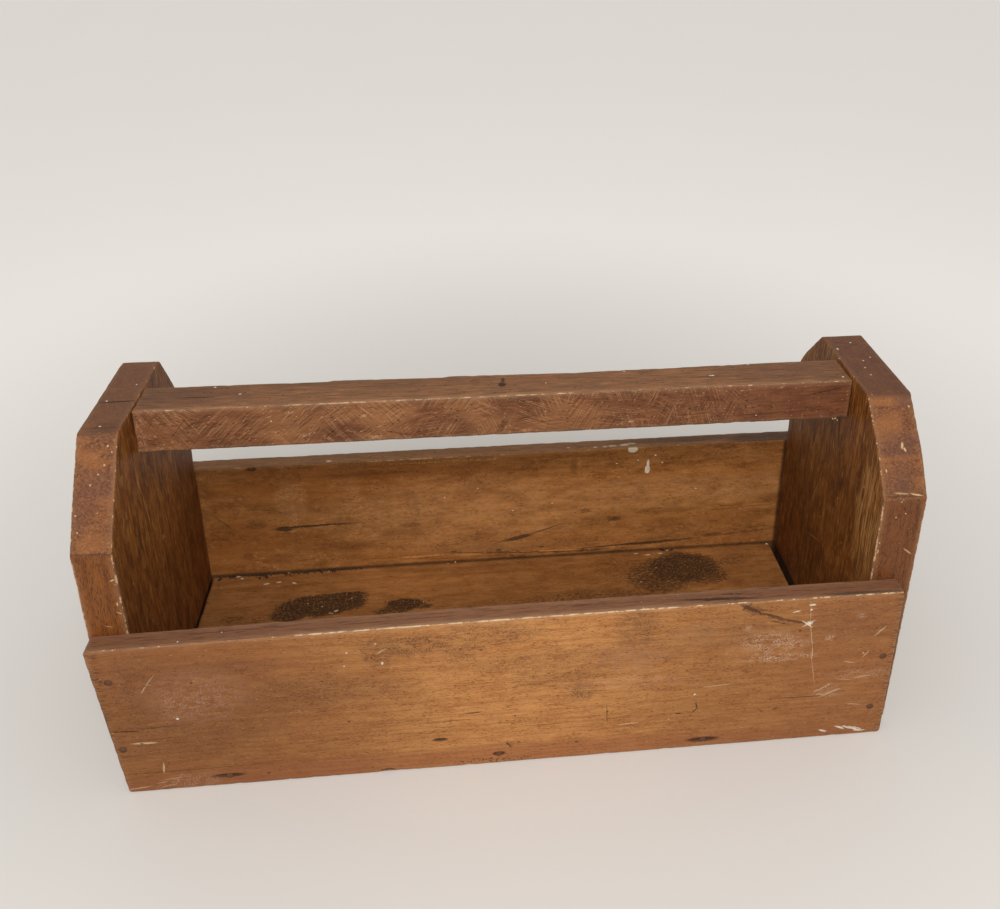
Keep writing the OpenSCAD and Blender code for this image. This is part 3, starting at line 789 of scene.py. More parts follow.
def front_wood():
    """Orange-brown pine with rubbed, scratched and gouged faces, and a dark worn top."""
    low = box_mm("front_board")[0]
    wood = WoodFinish("front_wood", "X", (0.0, -96.0, 118.0), 5.2, 9.0)
    wood.base((214, 150, 88), (190, 124, 68), (158, 96, 46), (104, 58, 28), (232, 172, 108),
              rings=0.34, dashes=0.74, mottle=0.7, fibres=0.5)
    face = wood.ramp(wood.y, low.y + 3.0, low.y + 1.2)
    # Painted shade: the left and right ends of the front face are darkened where the light falls off.
    painted_shade = wood.gather("front", [
        (-385, 60, 200, 210, 0.8), (385, 60, 200, 230, 0.8, 0.72),
    ], shake=0, broad=10)
    wood.lay(painted_shade, (104, 54, 20), 0.62)
    reddish = wood.gather("front", [
        (-60, 8, 330, 15, 0.35, 0.8), (220, 6, 210, 12, 0.4, 0.7), (340, 90, 60, 110, 0.6, 0.4),
        (-300, 150, 90, 30, 0.6, 0.35),
    ], face, broad=3)
    wood.lay(reddish, (150, 88, 56), 0.6)
    smudge = wood.gather("front", [
        (-99, 160, 40, 12, 0.5, 0.8), (-52, 152, 18, 14, 0.6, 0.6), (-128, 150, 12, 12, 0.6, 0.7),
        (-296, 148, 60, 8, 0.8, 0.5), (-345, 130, 20, 30, 0.8, 0.6), (-30, 168, 40, 9, 0.8, 0.6),
        (114, 160, 16, 22, 0.6, 0.7), (63, 88, 11, 11, 0.5, 0.75), (-296, 100, 60, 42, 0.7, 0.5),
        (-190, 112, 70, 16, 0.7, 0.5), (60, 128, 90, 12, 0.7, 0.45), (38, 110, 40, 9, 0.6, 0.5),
        (210, 145, 60, 14, 0.7, 0.35), (-330, 62, 60, 14, 0.8, 0.35), (330, 150, 40, 20, 0.7, 0.4),
    ], face, broad=7)
    wood.lay(smudge, (96, 62, 44), 0.22)
    wood.lay(wood.both(smudge, wood.broken), (66, 42, 32), 0.85)
    haze = wood.gather("front", [
        (-296, 116, 38, 27, 0.6), (109, 95, 48, 6, 0.7), (243, 132, 30, 13, 0.7, 0.7), (110, 130, 30, 12, 0.7, 0.5),
    ], face, broad=5)
    wood.lay(wood.both(haze, wood.broken), (206, 152, 122), 0.5)
    deep = wood.gather("front", [
        (-280, 13, 15, 2.4, 0.35), (-19, 13, 6, 2.6), (186, 10, 15.5, 3.0, 0.35), (-76, 38, 6.8, 2.1),
        (-128, 3.2, 6.5, 1.6), line(-380, 80.5, -355, 79, 1.3), line(-350, 81, -322, 83, 0.8, 0.6),
        line(-337, 84, -316, 82, 0.7, 0.4), (-43, 70, 8, 1.0, 0.3, 0.8, 3), line(-88, 61, -42, 62, 0.6, 0.6),
        (-3, 62, 1.0, 0.8), line(87, 66, 88, 44, 0.8, 0.8), (88, 58, 1.1, 0.9), line(176, 60, 178, 53, 1.2),
        line(178, 53, 173, 48, 1.2), (159, 48, 2.4, 0.9), line(252, 58, 309, 57, 0.9, 0.9),
        (258, 44, 2.8, 1.1, 0.3, 0.7, 30), line(239, 47, 246, 41, 0.8, 0.7), line(-11, 27, -7, 20, 1.2),
        line(52, 41, 86, 39, 0.6, 0.5), line(-60, 11, -16, 5, 0.6, 0.3), line(15, 47, 40, 47, 0.6, 0.5),
        line(-376, 24, -240, 24.5, 0.9, 0.55), line(-240, 24, -120, 22, 0.7, 0.3), line(30, 88, 90, 87, 0.7, 0.4),
        (-182, 124, 1.2, 0.5), line(-150, 64, -90, 66, 0.6, 0.5), line(-62, 106, -20, 107, 0.7, 0.5),
    ], face, 0.5)
    wood.lay(deep, SPLIT_DARK, 0.86, 0.75)
    wood.lay(wood.gather("front", nail_rims("front_left_nails", "front_right_nails"), face, 0.8), (66, 38, 22), 0.7)
    ticks = wood.gather("front", [(-26, 5, 36, 3.2, 0.2), (0, 25, 12, 2, 0.3)], face)
    wood.lay(wood.both(ticks, wood.patches((1.6, 9, 1.6), 0.56, 0.64, 1.0)), SPLIT_DARK, 0.8, 0.7)
    gouge = wood.gather("front", [
        line(212, 181, 234, 169, 3.4), line(228, 171, 256, 160, 3.0, 0.9), line(250, 161, 280, 153, 2.4, 0.9),
        line(214, 176, 222, 182, 2.4), line(222, 176, 244, 172, 1.6, 0.7), line(240, 160, 262, 154, 1.4, 0.7),
        (224, 175, 9, 4, 0.8, 0.5, -30),
    ], face, 1.6)
    wood.lay(gouge, (68, 38, 27), 0.85, 0.6)
    for depth, along in ((-381.0, 1), (371.0, -1)):
        near = wood.ramp(wood.math("MULTIPLY", wood.math("SUBTRACT", wood.x, depth), along), 8.0, 0.5)
        saw = wood.patches((7, 9, 1.3), 0.5, 0.6, 1.0)
        wood.lay(wood.both(wood.both(near, saw), face), (70, 40, 22), 0.6, 0.7, -0.2)
    pale = wood.gather("front", [
        line(-360.5, 63.5, -341.5, 63, 2.0), line(-338.5, 24, -337.5, 35, 1.5, 0.95),
        line(-344, 126, -340, 133, 0.9, 0.7), line(-340, 133, -331, 146, 0.8, 0.55),
        line(-341, 137, -333, 133, 0.7, 0.4), line(280, 180, 282.5, 152, 0.7, 0.6),
        line(282.5, 152, 288, 122, 0.8, 0.7), line(288, 122, 289, 105, 0.9, 0.9), line(289, 105, 295, 76, 0.7, 0.6),
        line(183, 81, 210, 82, 1.3, 0.6), line(100, 39, 118, 40, 1.3, 0.7), (150, 41, 0.8, 0.7),
        line(296, 63, 312, 72, 1.4, 0.6), line(303, 56, 322, 65, 1.7, 0.7), line(300, 60, 309, 57, 1.2, 0.6),
        line(322, 101, 333, 98, 1.1, 0.7), line(350, 132, 359, 142, 1.5, 0.8), line(341, 105, 346, 112, 1.2, 0.7),
        line(-130, 153, -122, 158, 1.3, 0.7), line(-344, 4, -330, 7, 0.9, 0.5), line(-339, 14, -322, 15, 0.9, 0.5),
        line(-330, 6, -322, 20, 0.7, 0.4), line(-346, 10, -336, 11, 0.8, 0.45), line(-374, 4, -352, 7, 1.2, 0.7),
        line(334, 43, 347, 41, 1.2, 0.6), line(336, 78, 352, 80, 1.3, 0.6), line(318, 78, 331, 76, 1.2, 0.5),
    ], face, 0.7)
    wood.lay(pale, PALE_SCRAPE, 0.68, 0.65)
    scuffs = wood.gather("front", [
        (243, 134, 18, 8, 0.9), (262, 128, 16, 4, 0.9), (255, 112, 26, 3.5, 0.9), (240, 118, 7, 6, 0.7, 0.7),
        (222, 152, 5, 3, 0.6), (304, 133, 4.5, 3.0, 0.6), (312, 62, 13, 7, 0.8, 0.5), (345, 83, 24, 5, 0.9, 0.5),
        (333, 158, 5, 3, 0.6, 0.7), (170, 150, 24, 10, 0.8, 0.2), (109, 118, 20, 12, 0.9, 0.16),
        (-318, 112, 2.6, 1.3, 0.3, 1, 30), (-303, 112, 18, 8, 0.9, 0.14), (-317, 93, 3, 1.6, 0.6, 0.6),
        (-316, 8, 22, 9, 0.8, 0.4),
    ], face, 1.0, broken=True)
    wood.lay(scuffs, (216, 180, 150), 0.74)
    white = wood.gather("front", [
        line(308, 9.5, 315, 7, 1.8), line(325, 13, 333, 9, 1.7), line(332, 12.8, 341, 8.2, 1.6),
        line(339, 11, 349, 5.2, 1.9), line(344, 10.5, 352, 6.4, 1.2), line(345, 5.2, 356, 4.6, 1.4),
        (267, 169, 3.6, 0.8, 0.3, 0.8, 10), (281.5, 170, 1.1, 1.1), (281.5, 153.5, 2.7, 1.9, 0.5),
        line(275, 156, 284, 149, 1.4), line(276, 150, 286, 156, 1.2), (-317, 91, 1.3, 1.0),
        (-157.5, 156.5, 0.9, 0.7), (-126, 141, 1.0, 1.5), (174, 72, 0.9, 1.1), (-161, 141, 0.7, 0.7),
        (-131, 165, 1.0, 0.7), (282, 176, 3.2, 1.0), (341, 110, 0.9, 0.6),
    ], face, 0.7)
    wood.lay(white, OFF_WHITE, 0.85, 0.7)
    for row in (
        (13, 0.10, 0.06, PALE_SCRAPE, 0.7),
        (3.6, 0.46, 0.21, (86, 47, 25), 0.68, (1.9, 0.7, 0.7)),
        (3.1, 0.42, 0.2, (234, 180, 124), 0.42, (2.4, 0.6, 0.6)),
        (17, 0.14, 0.075, SPLIT_DARK, 0.7, (1.6, 1, 1), -0.15),
    ):
        wood.specks(*row)
    wood.lay(wood.top_face, (128, 86, 62), 0.86)
    wood.lay(wood.both(wood.ramp(wood.grain["Fibres"], 0.5, 0.36), wood.top_face), (78, 46, 32), 0.6, relief=-0.1)
    cracks = wood.gather("top", [
        line(157, -131, 232, -135, 2.2), line(295, -136, 371, -137, 2.4), line(196, -127, 216, -128, 1.6, 0.8),
        line(-300, -128, -200, -127, 0.9, 0.6), line(-180, -131, -60, -130, 0.8, 0.5),
        line(20, -127, 120, -129, 0.8, 0.5),
    ], wood.top_face, 1.0)
    wood.lay(cracks, (58, 34, 24), 0.85, 0.7)
    wood.specks(9, 0.17, 0.09, OFF_WHITE, 0.75, within=wood.top_face)
    # Bare wood where the edges are worn; the pale line along the top front edge is also a painted highlight.
    wood.wear((236, 202, 160), 0.6, 0.95)
    wood.specks(31, 0.35, 0.035, OFF_WHITE, 0.8)
    wood.finish()


def back_wood():
    """Yellow-brown pine, split low down, with smears and drips of paint."""
    low = box_mm("back_board")[0]
    wood = WoodFinish("back_wood", "X", (0.0, 190.0, 70.0), 7.0, 12.0, 4.0)
    wood.base((218, 152, 86), (190, 126, 64), (164, 100, 47), (112, 64, 26), (232, 168, 98),
              rings=0.34, dashes=0.6, mottle=0.85, fibres=0.5)
    face = wood.ramp(wood.y, low.y + 3.2, low.y + 1.2)
    # Painted shade: the back face is darkened towards its ends, along its top and bottom, and low down on its right.
    painted_shade = wood.gather("front", [
        (-330, 110, 170, 120, 0.8, 0.8), (-180, 178, 260, 26, 0.6, 0.9), (120, 182, 240, 30, 0.6, 0.55),
        (60, 34, 300, 26, 0.5, 0.4), (200, 66, 160, 24, 0.22, 0.42), (330, 60, 40, 80, 0.7, 0.5),
    ], face, shake=0, broad=6)
    wood.lay(painted_shade, (96, 54, 22), 0.62)
    warm = wood.gather("front", [
        (-170, 150, 150, 20, 0.6, 0.8), (120, 125, 190, 24, 0.6, 0.5), (-320, 60, 40, 40, 0.7, 0.6),
    ], face, broad=8)
    wood.lay(warm, (170, 98, 40), 0.4)
    # Paler patches: the broad band across the middle is painted light, the small patches are paler wood.
    light = wood.gather("front", [
        (-40, 100, 120, 36, 0.8, 0.9), (190, 112, 170, 20, 0.5, 0.8), (-251, 128, 14, 21, 0.8, 0.9),
        (-180, 125, 8, 22, 0.9, 0.5), (40, 100, 60, 20, 0.8, 0.5),
    ], face, broad=5)
    patchy = wood.patches((7, 4, 4), 0.36, 0.62, 4.0, 0.7)
    wood.lay(wood.both(light, patchy), (210, 158, 106), 0.68)
    rough = wood.patches((38, 30, 26), 0.5, 0.62, 4.0, 0.7)
    wood.lay(wood.both(wood.both(rough, wood.broken), face), (224, 160, 100), 0.5)
    worn = wood.both(wood.patches((60, 40, 22), 0.44, 0.62, 3.0, 0.6), patchy)
    wood.lay(wood.both(worn, face), (112, 66, 30), 0.56)
    deep = wood.gather("front", [
        (-291, 176, 5.5, 2.4), line(-268, 89.5, -183, 91.5, 3.0), (-261, 88.5, 10, 3.4, 0.4),
        (-113, 84, 10, 3.0, 0.7, 0.4), line(2, 52, 34, 59, 2.2), line(33, 59, 70, 71, 1.2, 0.8),
        (18, 55, 17, 2.6, 0.4, 1, 12), line(-12, 47, 4, 52, 0.9, 0.7), line(92, 31, 232, 37, 3.8),
        (112, 30.5, 22, 2.8, 0.4, 0.9, 3), line(232, 37, 340, 46, 1.2, 0.6), line(-111, 33, -60, 36, 0.9, 0.5),
        line(-50, 37, 96, 29, 1.6, 0.8), (-61, 39, 3.6, 1.2), (-6, 38, 3.2, 1.2), (47, 39, 2.9, 1.3),
        (101, 90, 6, 2.6, 0.6, 0.55), (138, 75, 7, 2.6, 0.6, 0.7), (86, 156, 3, 9, 0.8, 0.35),
        (-105, 112, 2.5, 8, 0.8, 0.25), (-294, 97, 9, 6, 0.8, 0.35), line(-340, 112, -322, 92, 2.2, 0.5),
        line(-346, 86, -326, 74, 2.0, 0.35), (-308, 50, 6, 4, 0.7, 0.3), (-166, 161, 60, 2.0, 0.8, 0.3),
        (263, 42, 10, 2.0, 0.6, 0.6, 3), line(262, 80, 342, 84, 1.6, 0.45), (196, 84, 30, 3, 0.9, 0.25),
    ], face, 1.1, 1.2)
    wood.lay(deep, SPLIT_DARK, 0.82, 0.75)
    smears = wood.gather("front", [
        (-291, 118, 8, 5, 0.8), (-300, 97, 14, 6, 0.8, 1, 8), (-330, 96, 22, 5, 0.8, 1, -40),
        (-160, 172, 30, 7, 0.8), (-30, 152, 40, 12, 0.8), (138, 76, 11, 4, 0.8), (101, 90, 9, 3.4, 0.8),
        (86, 154, 5, 10, 0.8, 0.6), (40, 160, 18, 6, 0.8, 0.7), (250, 158, 34, 7, 0.8, 0.6),
        (300, 44, 60, 6, 0.8, 1, 3), (-113, 84, 10, 2.6, 0.8), (210, 40, 60, 5, 0.8, 0.8, 3),
        (-60, 60, 120, 6, 0.8, 0.5),
    ], face, 1.4, 5, broken=True)
    wood.lay(smears, (80, 46, 22), 0.5, 0.7)
    dirt = wood.ramp(wood.math("ADD", wood.z, wood.noise(wood.point, (9, 9, 4), 3.0)), 28.5, 25.0)
    wood.lay(wood.both(dirt, face), (56, 34, 18), 0.7, 0.8)
    # Painted shadow: a dark strip at the right end of the back face, where it meets the right end board.
    corner = wood.both(wood.ramp(wood.x, 341.5, 345.5), face)
    wood.lay(corner, (52, 28, 13), 0.8)
    lip = wood.gather("front", [(-8, 43, 106, 5.5, 0.35, 0.8), line(-110, 47.5, 96, 38.5, 1.0)], face, 0.8)
    wood.lay(lip, (176, 132, 86), 0.34, relief=0.3)
    pale = wood.gather("front", [
        line(-150, 173, -2, 173.5, 2.2, 0.75), line(-250, 172, -160, 172.5, 1.2, 0.4), line(-30, 172, 4, 173, 3.0),
        line(60, 166, 66, 160, 0.9, 0.6), line(10, 140, 22, 128, 1.1, 0.6), line(-60, 58, -10, 60, 0.7, 0.3),
        line(70, 108, 100, 110, 0.8, 0.4), line(200, 93, 260, 96, 0.9, 0.4), line(60, 91, 340, 92, 0.8, 0.25),
        line(-340, 42, -300, 46, 0.8, 0.4), line(0, 112, 40, 114, 0.8, 0.3),
    ], face, 0.8, broken=True)
    wood.lay(pale, (214, 166, 104), 0.8)
    paint = wood.gather("front", [
        (157, 176, 6.0, 4.6, 0.15), (161, 181, 2.7, 1.9, 0.2), (176, 146, 3.2, 6.0, 0.15),
        (176.5, 154, 1.7, 6.0, 0.2), (194, 155, 1.2, 1.0), (138, 157, 1.2, 0.7), (164, 160, 0.9, 0.9),
        (185, 166, 1.2, 0.9), (148, 187, 9, 1.4, 0.5, 1, 5), (-70, 121, 0.9, 0.7), (238, 114, 1.4, 0.7),
        (12, 96, 1.1, 0.7), (60, 104, 0.9, 0.7), (-30, 132, 0.9, 0.7),
    ], face, 0.5)
    wood.lay(paint, (255, 240, 208), 1.0, 0.4, 0.5)
    wood.lay(wood.top_face, (132, 92, 60), 0.8)
    wood.lay(wood.both(wood.ramp(wood.grain["Fibres"], 0.5, 0.36), wood.top_face), (78, 48, 30), 0.55, relief=-0.1)
    spill = wood.gather("top", [
        (148, 127, 5, 2.0, 0.5, 1, 8), (157, 129, 4, 1.6, 0.5, 1, -10), (133, 126, 4.5, 1.2, 0.6),
        (124, 125.5, 2.4, 0.9, 0.6), (112, 125, 2.4, 0.9, 0.5), (80, 127, 2.0, 0.8), (-203, 125, 3.0, 1.4, 0.4),
    ], wood.top_face, 1.4)
    wood.lay(spill, (226, 198, 160), 0.85, 0.5)
    stain = wood.gather("top", [(220, 132, 60, 5, 0.6, 0.8), (320, 128, 40, 9, 0.6)], wood.top_face, 1.0, 3)
    wood.lay(stain, (62, 40, 30), 0.75)
    wood.wear((206, 158, 104), 0.9, 0.75)
    for row in (
        (7, 0.14, 0.09, PALE_SCRAPE, 0.42),
        (4, 0.4, 0.22, (70, 38, 17), 0.62, (1.7, 0.8, 0.8)),
        (3.3, 0.42, 0.2, (232, 172, 108), 0.42, (2.0, 0.7, 0.7)),
        (15, 0.12, 0.07, SPLIT_DARK, 0.6, (1.8, 1, 1)),
        (24, 0.14, 0.045, OFF_WHITE, 0.85),
    ):
        wood.specks(*row)
    wood.finish()


def bottom_wood():
    """Dull pine under heaps of dark sawdust, dirty at its edges."""
    high = box_mm("bottom_board")[1]
    wood = WoodFinish("bottom_wood", "X", (0.0, 20.0, -150.0), 6.0, 12.0, 4.4)
    wood.base((192, 132, 74), (160, 102, 50), (138, 84, 38), (100, 58, 24), (208, 150, 90),
              rings=0.36, dashes=0.62, mottle=0.85, fibres=0.55)
    face = wood.ramp(wood.z, high.z - 3.0, high.z - 1.2)
    # Painted shade: the bottom is darkened towards its ends, along the front board and in one place near the back.
    painted_shade = wood.gather("top", [
        (-340, 60, 130, 90, 0.8, 0.75), (340, 60, 60, 110, 0.7, 0.5), (0, -30, 420, 66, 0.5, 0.65),
        (-60, 110, 80, 12, 0.7, 0.4),
    ], face, shake=0, broad=8)
    wood.lay(painted_shade, (78, 44, 20), 0.55)
    brown = wood.gather("top", [
        (60, 86, 90, 26, 0.8, 0.8), (140, 70, 60, 44, 0.8, 0.6), (-20, 70, 90, 20, 0.8, 0.5),
    ], face, broad=9)
    wood.lay(brown, (104, 62, 24), 0.5)
    stain = wood.gather("top", [
        (-216, 62, 52, 17, 0.28, 1, 3), (-250, 50, 24, 10, 0.4, 0.9), (-190, 74, 26, 7, 0.4, 0.9),
        (-119, 55, 22, 9, 0.3), (-134, 47, 24, 6, 0.5, 0.75), (-98, 50, 14, 4, 0.5, 0.7), (218, 86, 44, 24, 0.5),
        (190, 74, 44, 26, 0.6, 0.7), (150, 90, 36, 24, 0.7, 0.42), (244, 72, 28, 16, 0.5, 0.7),
        (-314, 47, 16, 6, 0.9, 0.5), (-290, 44, 14, 4, 0.9, 0.45), (276, 92, 26, 8, 0.8, 0.5, 6),
        (0, 40, 70, 12, 0.7, 0.4), (100, 44, 90, 14, 0.7, 0.5),
    ], face, 0.8, 6)
    grains = wood.noise(wood.point, (4.5, 1.6, 1.6), 4.0, 0.75)
    heap = wood.both(wood.ramp(wood.math("MULTIPLY_ADD", grains, 2.0, stain), 1.3, 1.85), face)
    wood.lay(heap, (38, 22, 10), 0.86, 0.85, 0.12)
    wood.lay(wood.both(wood.patches((2.6, 2.2, 2.2), 0.5, 0.62, 4.0, 0.75), heap), (150, 106, 58), 0.6, 0.85, 0.1)
    edges = wood.math("MAXIMUM",
                      wood.ramp(wood.math("ADD", wood.y, wood.noise(wood.point, (16, 16, 16), 3.0)), 116.0, 121.0),
                      wood.ramp(wood.x, -348.0, -353.0))
    wood.lay(wood.both(edges, face), (44, 26, 13), 0.72, 0.8)
    white = wood.gather("top", [
        (-286, 102.5, 3.4, 1.2, 0.3, 1, 10), (-272, 104, 3.0, 1.1, 0.3, 1, 6), (-253, 101, 2.7, 1.2, 0.3, 1, -30),
        (166, 115, 2.7, 0.9), (180.5, 111.5, 3.4, 1.0), (196.5, 112.5, 2.9, 1.0), (-205, 49, 1.4, 0.7),
        (-215, 60, 0.8, 0.7), (-232, 66, 0.8, 0.6), (-98, 57, 0.7, 0.6), (186, 88, 0.8, 0.7), (163, 66, 0.7, 0.9),
        (-182, 70, 0.7, 0.7), (-140, 62, 0.7, 0.6),
    ], face, 0.5)
    wood.lay(white, (208, 186, 156), 0.85, 0.7)
    wood.specks(12, 0.16, 0.06, PALE_SCRAPE, 0.6)
    wood.specks(7, 0.2, 0.1, SPLIT_DARK, 0.7, (1.3, 1, 1), within=stain)
    wood.specks(6, 0.12, 0.09, OFF_WHITE, 0.8, within=stain)
    wood.specks(16, 0.16, 0.09, SPLIT_DARK, 0.55, (2.0, 1, 1))
    wood.specks(4, 0.4, 0.22, (60, 34, 16), 0.6, (2.0, 0.7, 0.7))
    wood.specks(3.6, 0.3, 0.2, (206, 152, 96), 0.42, (2.0, 0.7, 0.7))
    wood.wear((176, 130, 84), 0.7, 0.5)
    wood.finish()


def bar_wood():
    """Dark wood with pale and dark saw scratches in front, and a rubbed top."""
    low = box_mm("handle")[0]
    wood = WoodFinish("bar_wood", "X", (0.0, -14.0, 250.0), 4.6, 6.0, 4.2)
    wood.base((140, 88, 55), (110, 62, 37), (94, 52, 29), (70, 37, 20), (172, 114, 72),
              rings=0.28, dashes=0.6, mottle=0.75, fibres=0.5)
    face = wood.ramp(wood.y, low.y + 2.6, low.y + 1.0)
    rough_sawn = wood.both(face, wood.ramp(wood.x, 300.0, 180.0))
    light = wood.gather("front", [
        (-206, 328, 26, 15, 0.8, 0.8), (-116, 330, 22, 16, 0.8, 1, 20), (-36, 328, 22, 17, 0.8, 1, -15),
        (60, 325, 44, 13, 0.9, 0.7), (-330, 325, 24, 18, 0.9, 0.4), (-160, 340, 16, 6, 0.8, 0.8),
    ], face, broad=6)
    wood.lay(light, (180, 124, 78), 0.42)
    dark = wood.gather("front", [
        (-60, 318, 22, 12, 0.8), (10, 338, 30, 10, 0.8, 0.8), (-165, 318, 26, 9, 0.8, 0.9),
        (110, 332, 18, 16, 0.8, 0.7), (-290, 320, 20, 20, 0.8, 0.4), (260, 325, 100, 26, 0.8, 0.5),
    ], face, broad=7)
    wood.lay(dark, (96, 54, 36), 0.55)
    falling = wood.patches((58, 400, 400), 0.44, 0.54, 1.0)
    rising = wood.math("SUBTRACT", 1.0, falling)
    pale_arcs = (
        (1.0, (-420.0, 150.0, 0.0), 0.85, falling), (4.0, (-40.0, 60.0, 0.0), 0.95, rising),
        (7.5, (160.0, 640.0, 0.0), 0.9, falling), (11.0, (-620.0, 640.0, 0.0), 0.85, rising),
    )
    for seed, centre, spacing, lean in pale_arcs:
        arcs = wood.group("saw_arcs", Point=wood.face_point("front"), Centre=centre, Spacing=spacing,
                          Seed=seed)["Mask"]
        arcs = wood.both(arcs, wood.both(rough_sawn, lean))
        wood.lay(arcs, (204, 150, 102), 0.55, 0.68, 0.08)
    for seed, centre in ((2.0, (-380.0, 640.0, 0.0)), (5.0, (60.0, 40.0, 0.0))):
        arcs = wood.group("saw_arcs", Point=wood.face_point("front"), Centre=centre, Spacing=0.95, Seed=seed)["Mask"]
        wood.lay(wood.both(arcs, rough_sawn), (62, 34, 21), 0.65, 0.7, -0.12)
    wood.lay(wood.both(wood.ramp(wood.grain["Mottle"], 0.3, 0.8), wood.top_face), (104, 70, 48), 0.7)
    wood.lay(wood.top_face, (152, 106, 68), 0.5)
    wood.lay(wood.both(wood.ramp(wood.grain["Fibres"], 0.48, 0.34), wood.top_face), (70, 44, 28), 0.6, relief=-0.1)
    wood.lay(wood.both(wood.ramp(wood.grain["Fibres"], 0.58, 0.7), wood.top_face), (190, 142, 96), 0.5)
    wear_top = wood.gather("top", [
        (-330, 8, 60, 26, 0.7, 0.8), (-200, 16, 50, 8, 0.7, 0.6), (300, 0, 60, 20, 0.8, 0.5),
        (-100, 10, 60, 10, 0.8, 0.4),
    ], wood.top_face, broad=5)
    wood.lay(wear_top, (74, 46, 32), 0.6)
    dents = wood.gather("top", [
        (-5, -5, 3.8, 3.6, 0.35, 1, 20), (-4, 3, 1.6, 4.0, 0.4, 0.9, -12), (-32, 2, 4, 5, 0.8, 0.3),
        line(-318, -4, -286, -6, 1.4, 0.7), line(-236, -8, -204, -9, 1.2, 0.5), line(-150, 2, -118, 1, 1.1, 0.5),
        line(60, 2, 96, 0, 1.1, 0.4), line(180, -6, 240, -8, 1.2, 0.5),
    ], wood.top_face, 0.8)
    wood.lay(dents, SPLIT_DARK, 0.8, 0.8)
    splits = wood.gather("front", [
        line(299, 335, 349, 345.5, 1.5, 0.9), line(-311, 330, -296, 338, 1.2, 0.5),
        line(-120, 318, -96, 312, 1.6, 0.5), line(24, 318, 52, 322, 1.5, 0.5), line(230, 316, 300, 318, 1.0, 0.5),
    ], face, 1.0)
    wood.lay(splits, SPLIT_DARK, 0.75, 0.75)
    chips = wood.gather("front", [
        (-41, 341, 0.8, 2.2, 0.3, 1, -20), (109, 340, 1.3, 1.3), (-311, 307, 5, 1.6, 0.3),
        (-128, 312, 5, 2.0, 0.3, 1, 8), (-122, 325, 4.0, 1.3, 0.5, 1, 10), (-141, 336, 5.0, 1.6, 0.3, 1, 14),
        (-150, 318, 7, 1.4, 0.5, 1, -24), (-196, 318, 9, 1.3, 0.5, 1, 12), (-210, 344, 5, 1.0, 0.5),
        (-166, 346, 4, 0.9, 0.5), (96, 327, 6, 1.1, 0.6, 1, 4), (116, 314, 8.0, 1.8, 0.5, 1, 10), (190, 341, 5, 0.9),
        (160, 337, 3.0, 1.0), (-228, 340, 4.0, 1.0), (20, 311, 8, 1.4), (-176, 313, 3.4, 1.1), (-60, 309, 6.0, 1.0),
        (270, 346, 7, 0.8, 0.3, 1, 3), (236, 345, 6, 0.8, 0.3, 1, 3), (-72, 336, 2.4, 0.7), (62, 338, 2.5, 0.7),
    ], face, 1.0, broken=True)
    wood.lay(chips, (216, 172, 128), 0.7, 0.7)
    torn = wood.gather("front", [(-349, 322, 5, 24, 0.5), (-338, 309, 16, 4, 0.6)], face, 1.2, broken=True)
    wood.lay(torn, (196, 140, 104), 0.6, 0.75)
    under = wood.both(wood.ramp(wood.z, 310.5, 306.5), wood.patches((12, 12, 12), 0.42, 0.56, 3.0))
    wood.lay(wood.both(under, face), (50, 30, 20), 0.75)
    specks_top = wood.gather("top", [
        (-285.5, 12, 1.2, 0.8), (-259, -2.5, 1.1, 0.8), (207, -5, 2.6, 0.9), (339, -18, 1.1, 0.9),
        (120, 10, 0.9, 0.7), (250, 13, 0.9, 0.6),
    ], wood.top_face, 0.4)
    wood.lay(specks_top, OFF_WHITE, 0.9, 0.7)
    wood.specks(6, 0.2, 0.12, PALE_SCRAPE, 0.5, (2, 1, 0.8), within=rough_sawn)
    wood.specks(3.4, 0.5, 0.22, (218, 162, 114), 0.66, (1.5, 0.8, 0.8), within=face)
    wood.specks(4, 0.45, 0.22, (54, 29, 18), 0.7, (1.6, 0.8, 0.8))
    wood.specks(11, 0.14, 0.08, SPLIT_DARK, 0.6, (1.5, 1, 1))
    wood.wear((228, 188, 146), 0.56, 0.8)
    wood.specks(19, 0.14, 0.05, OFF_WHITE, 0.7)
    wood.finish()
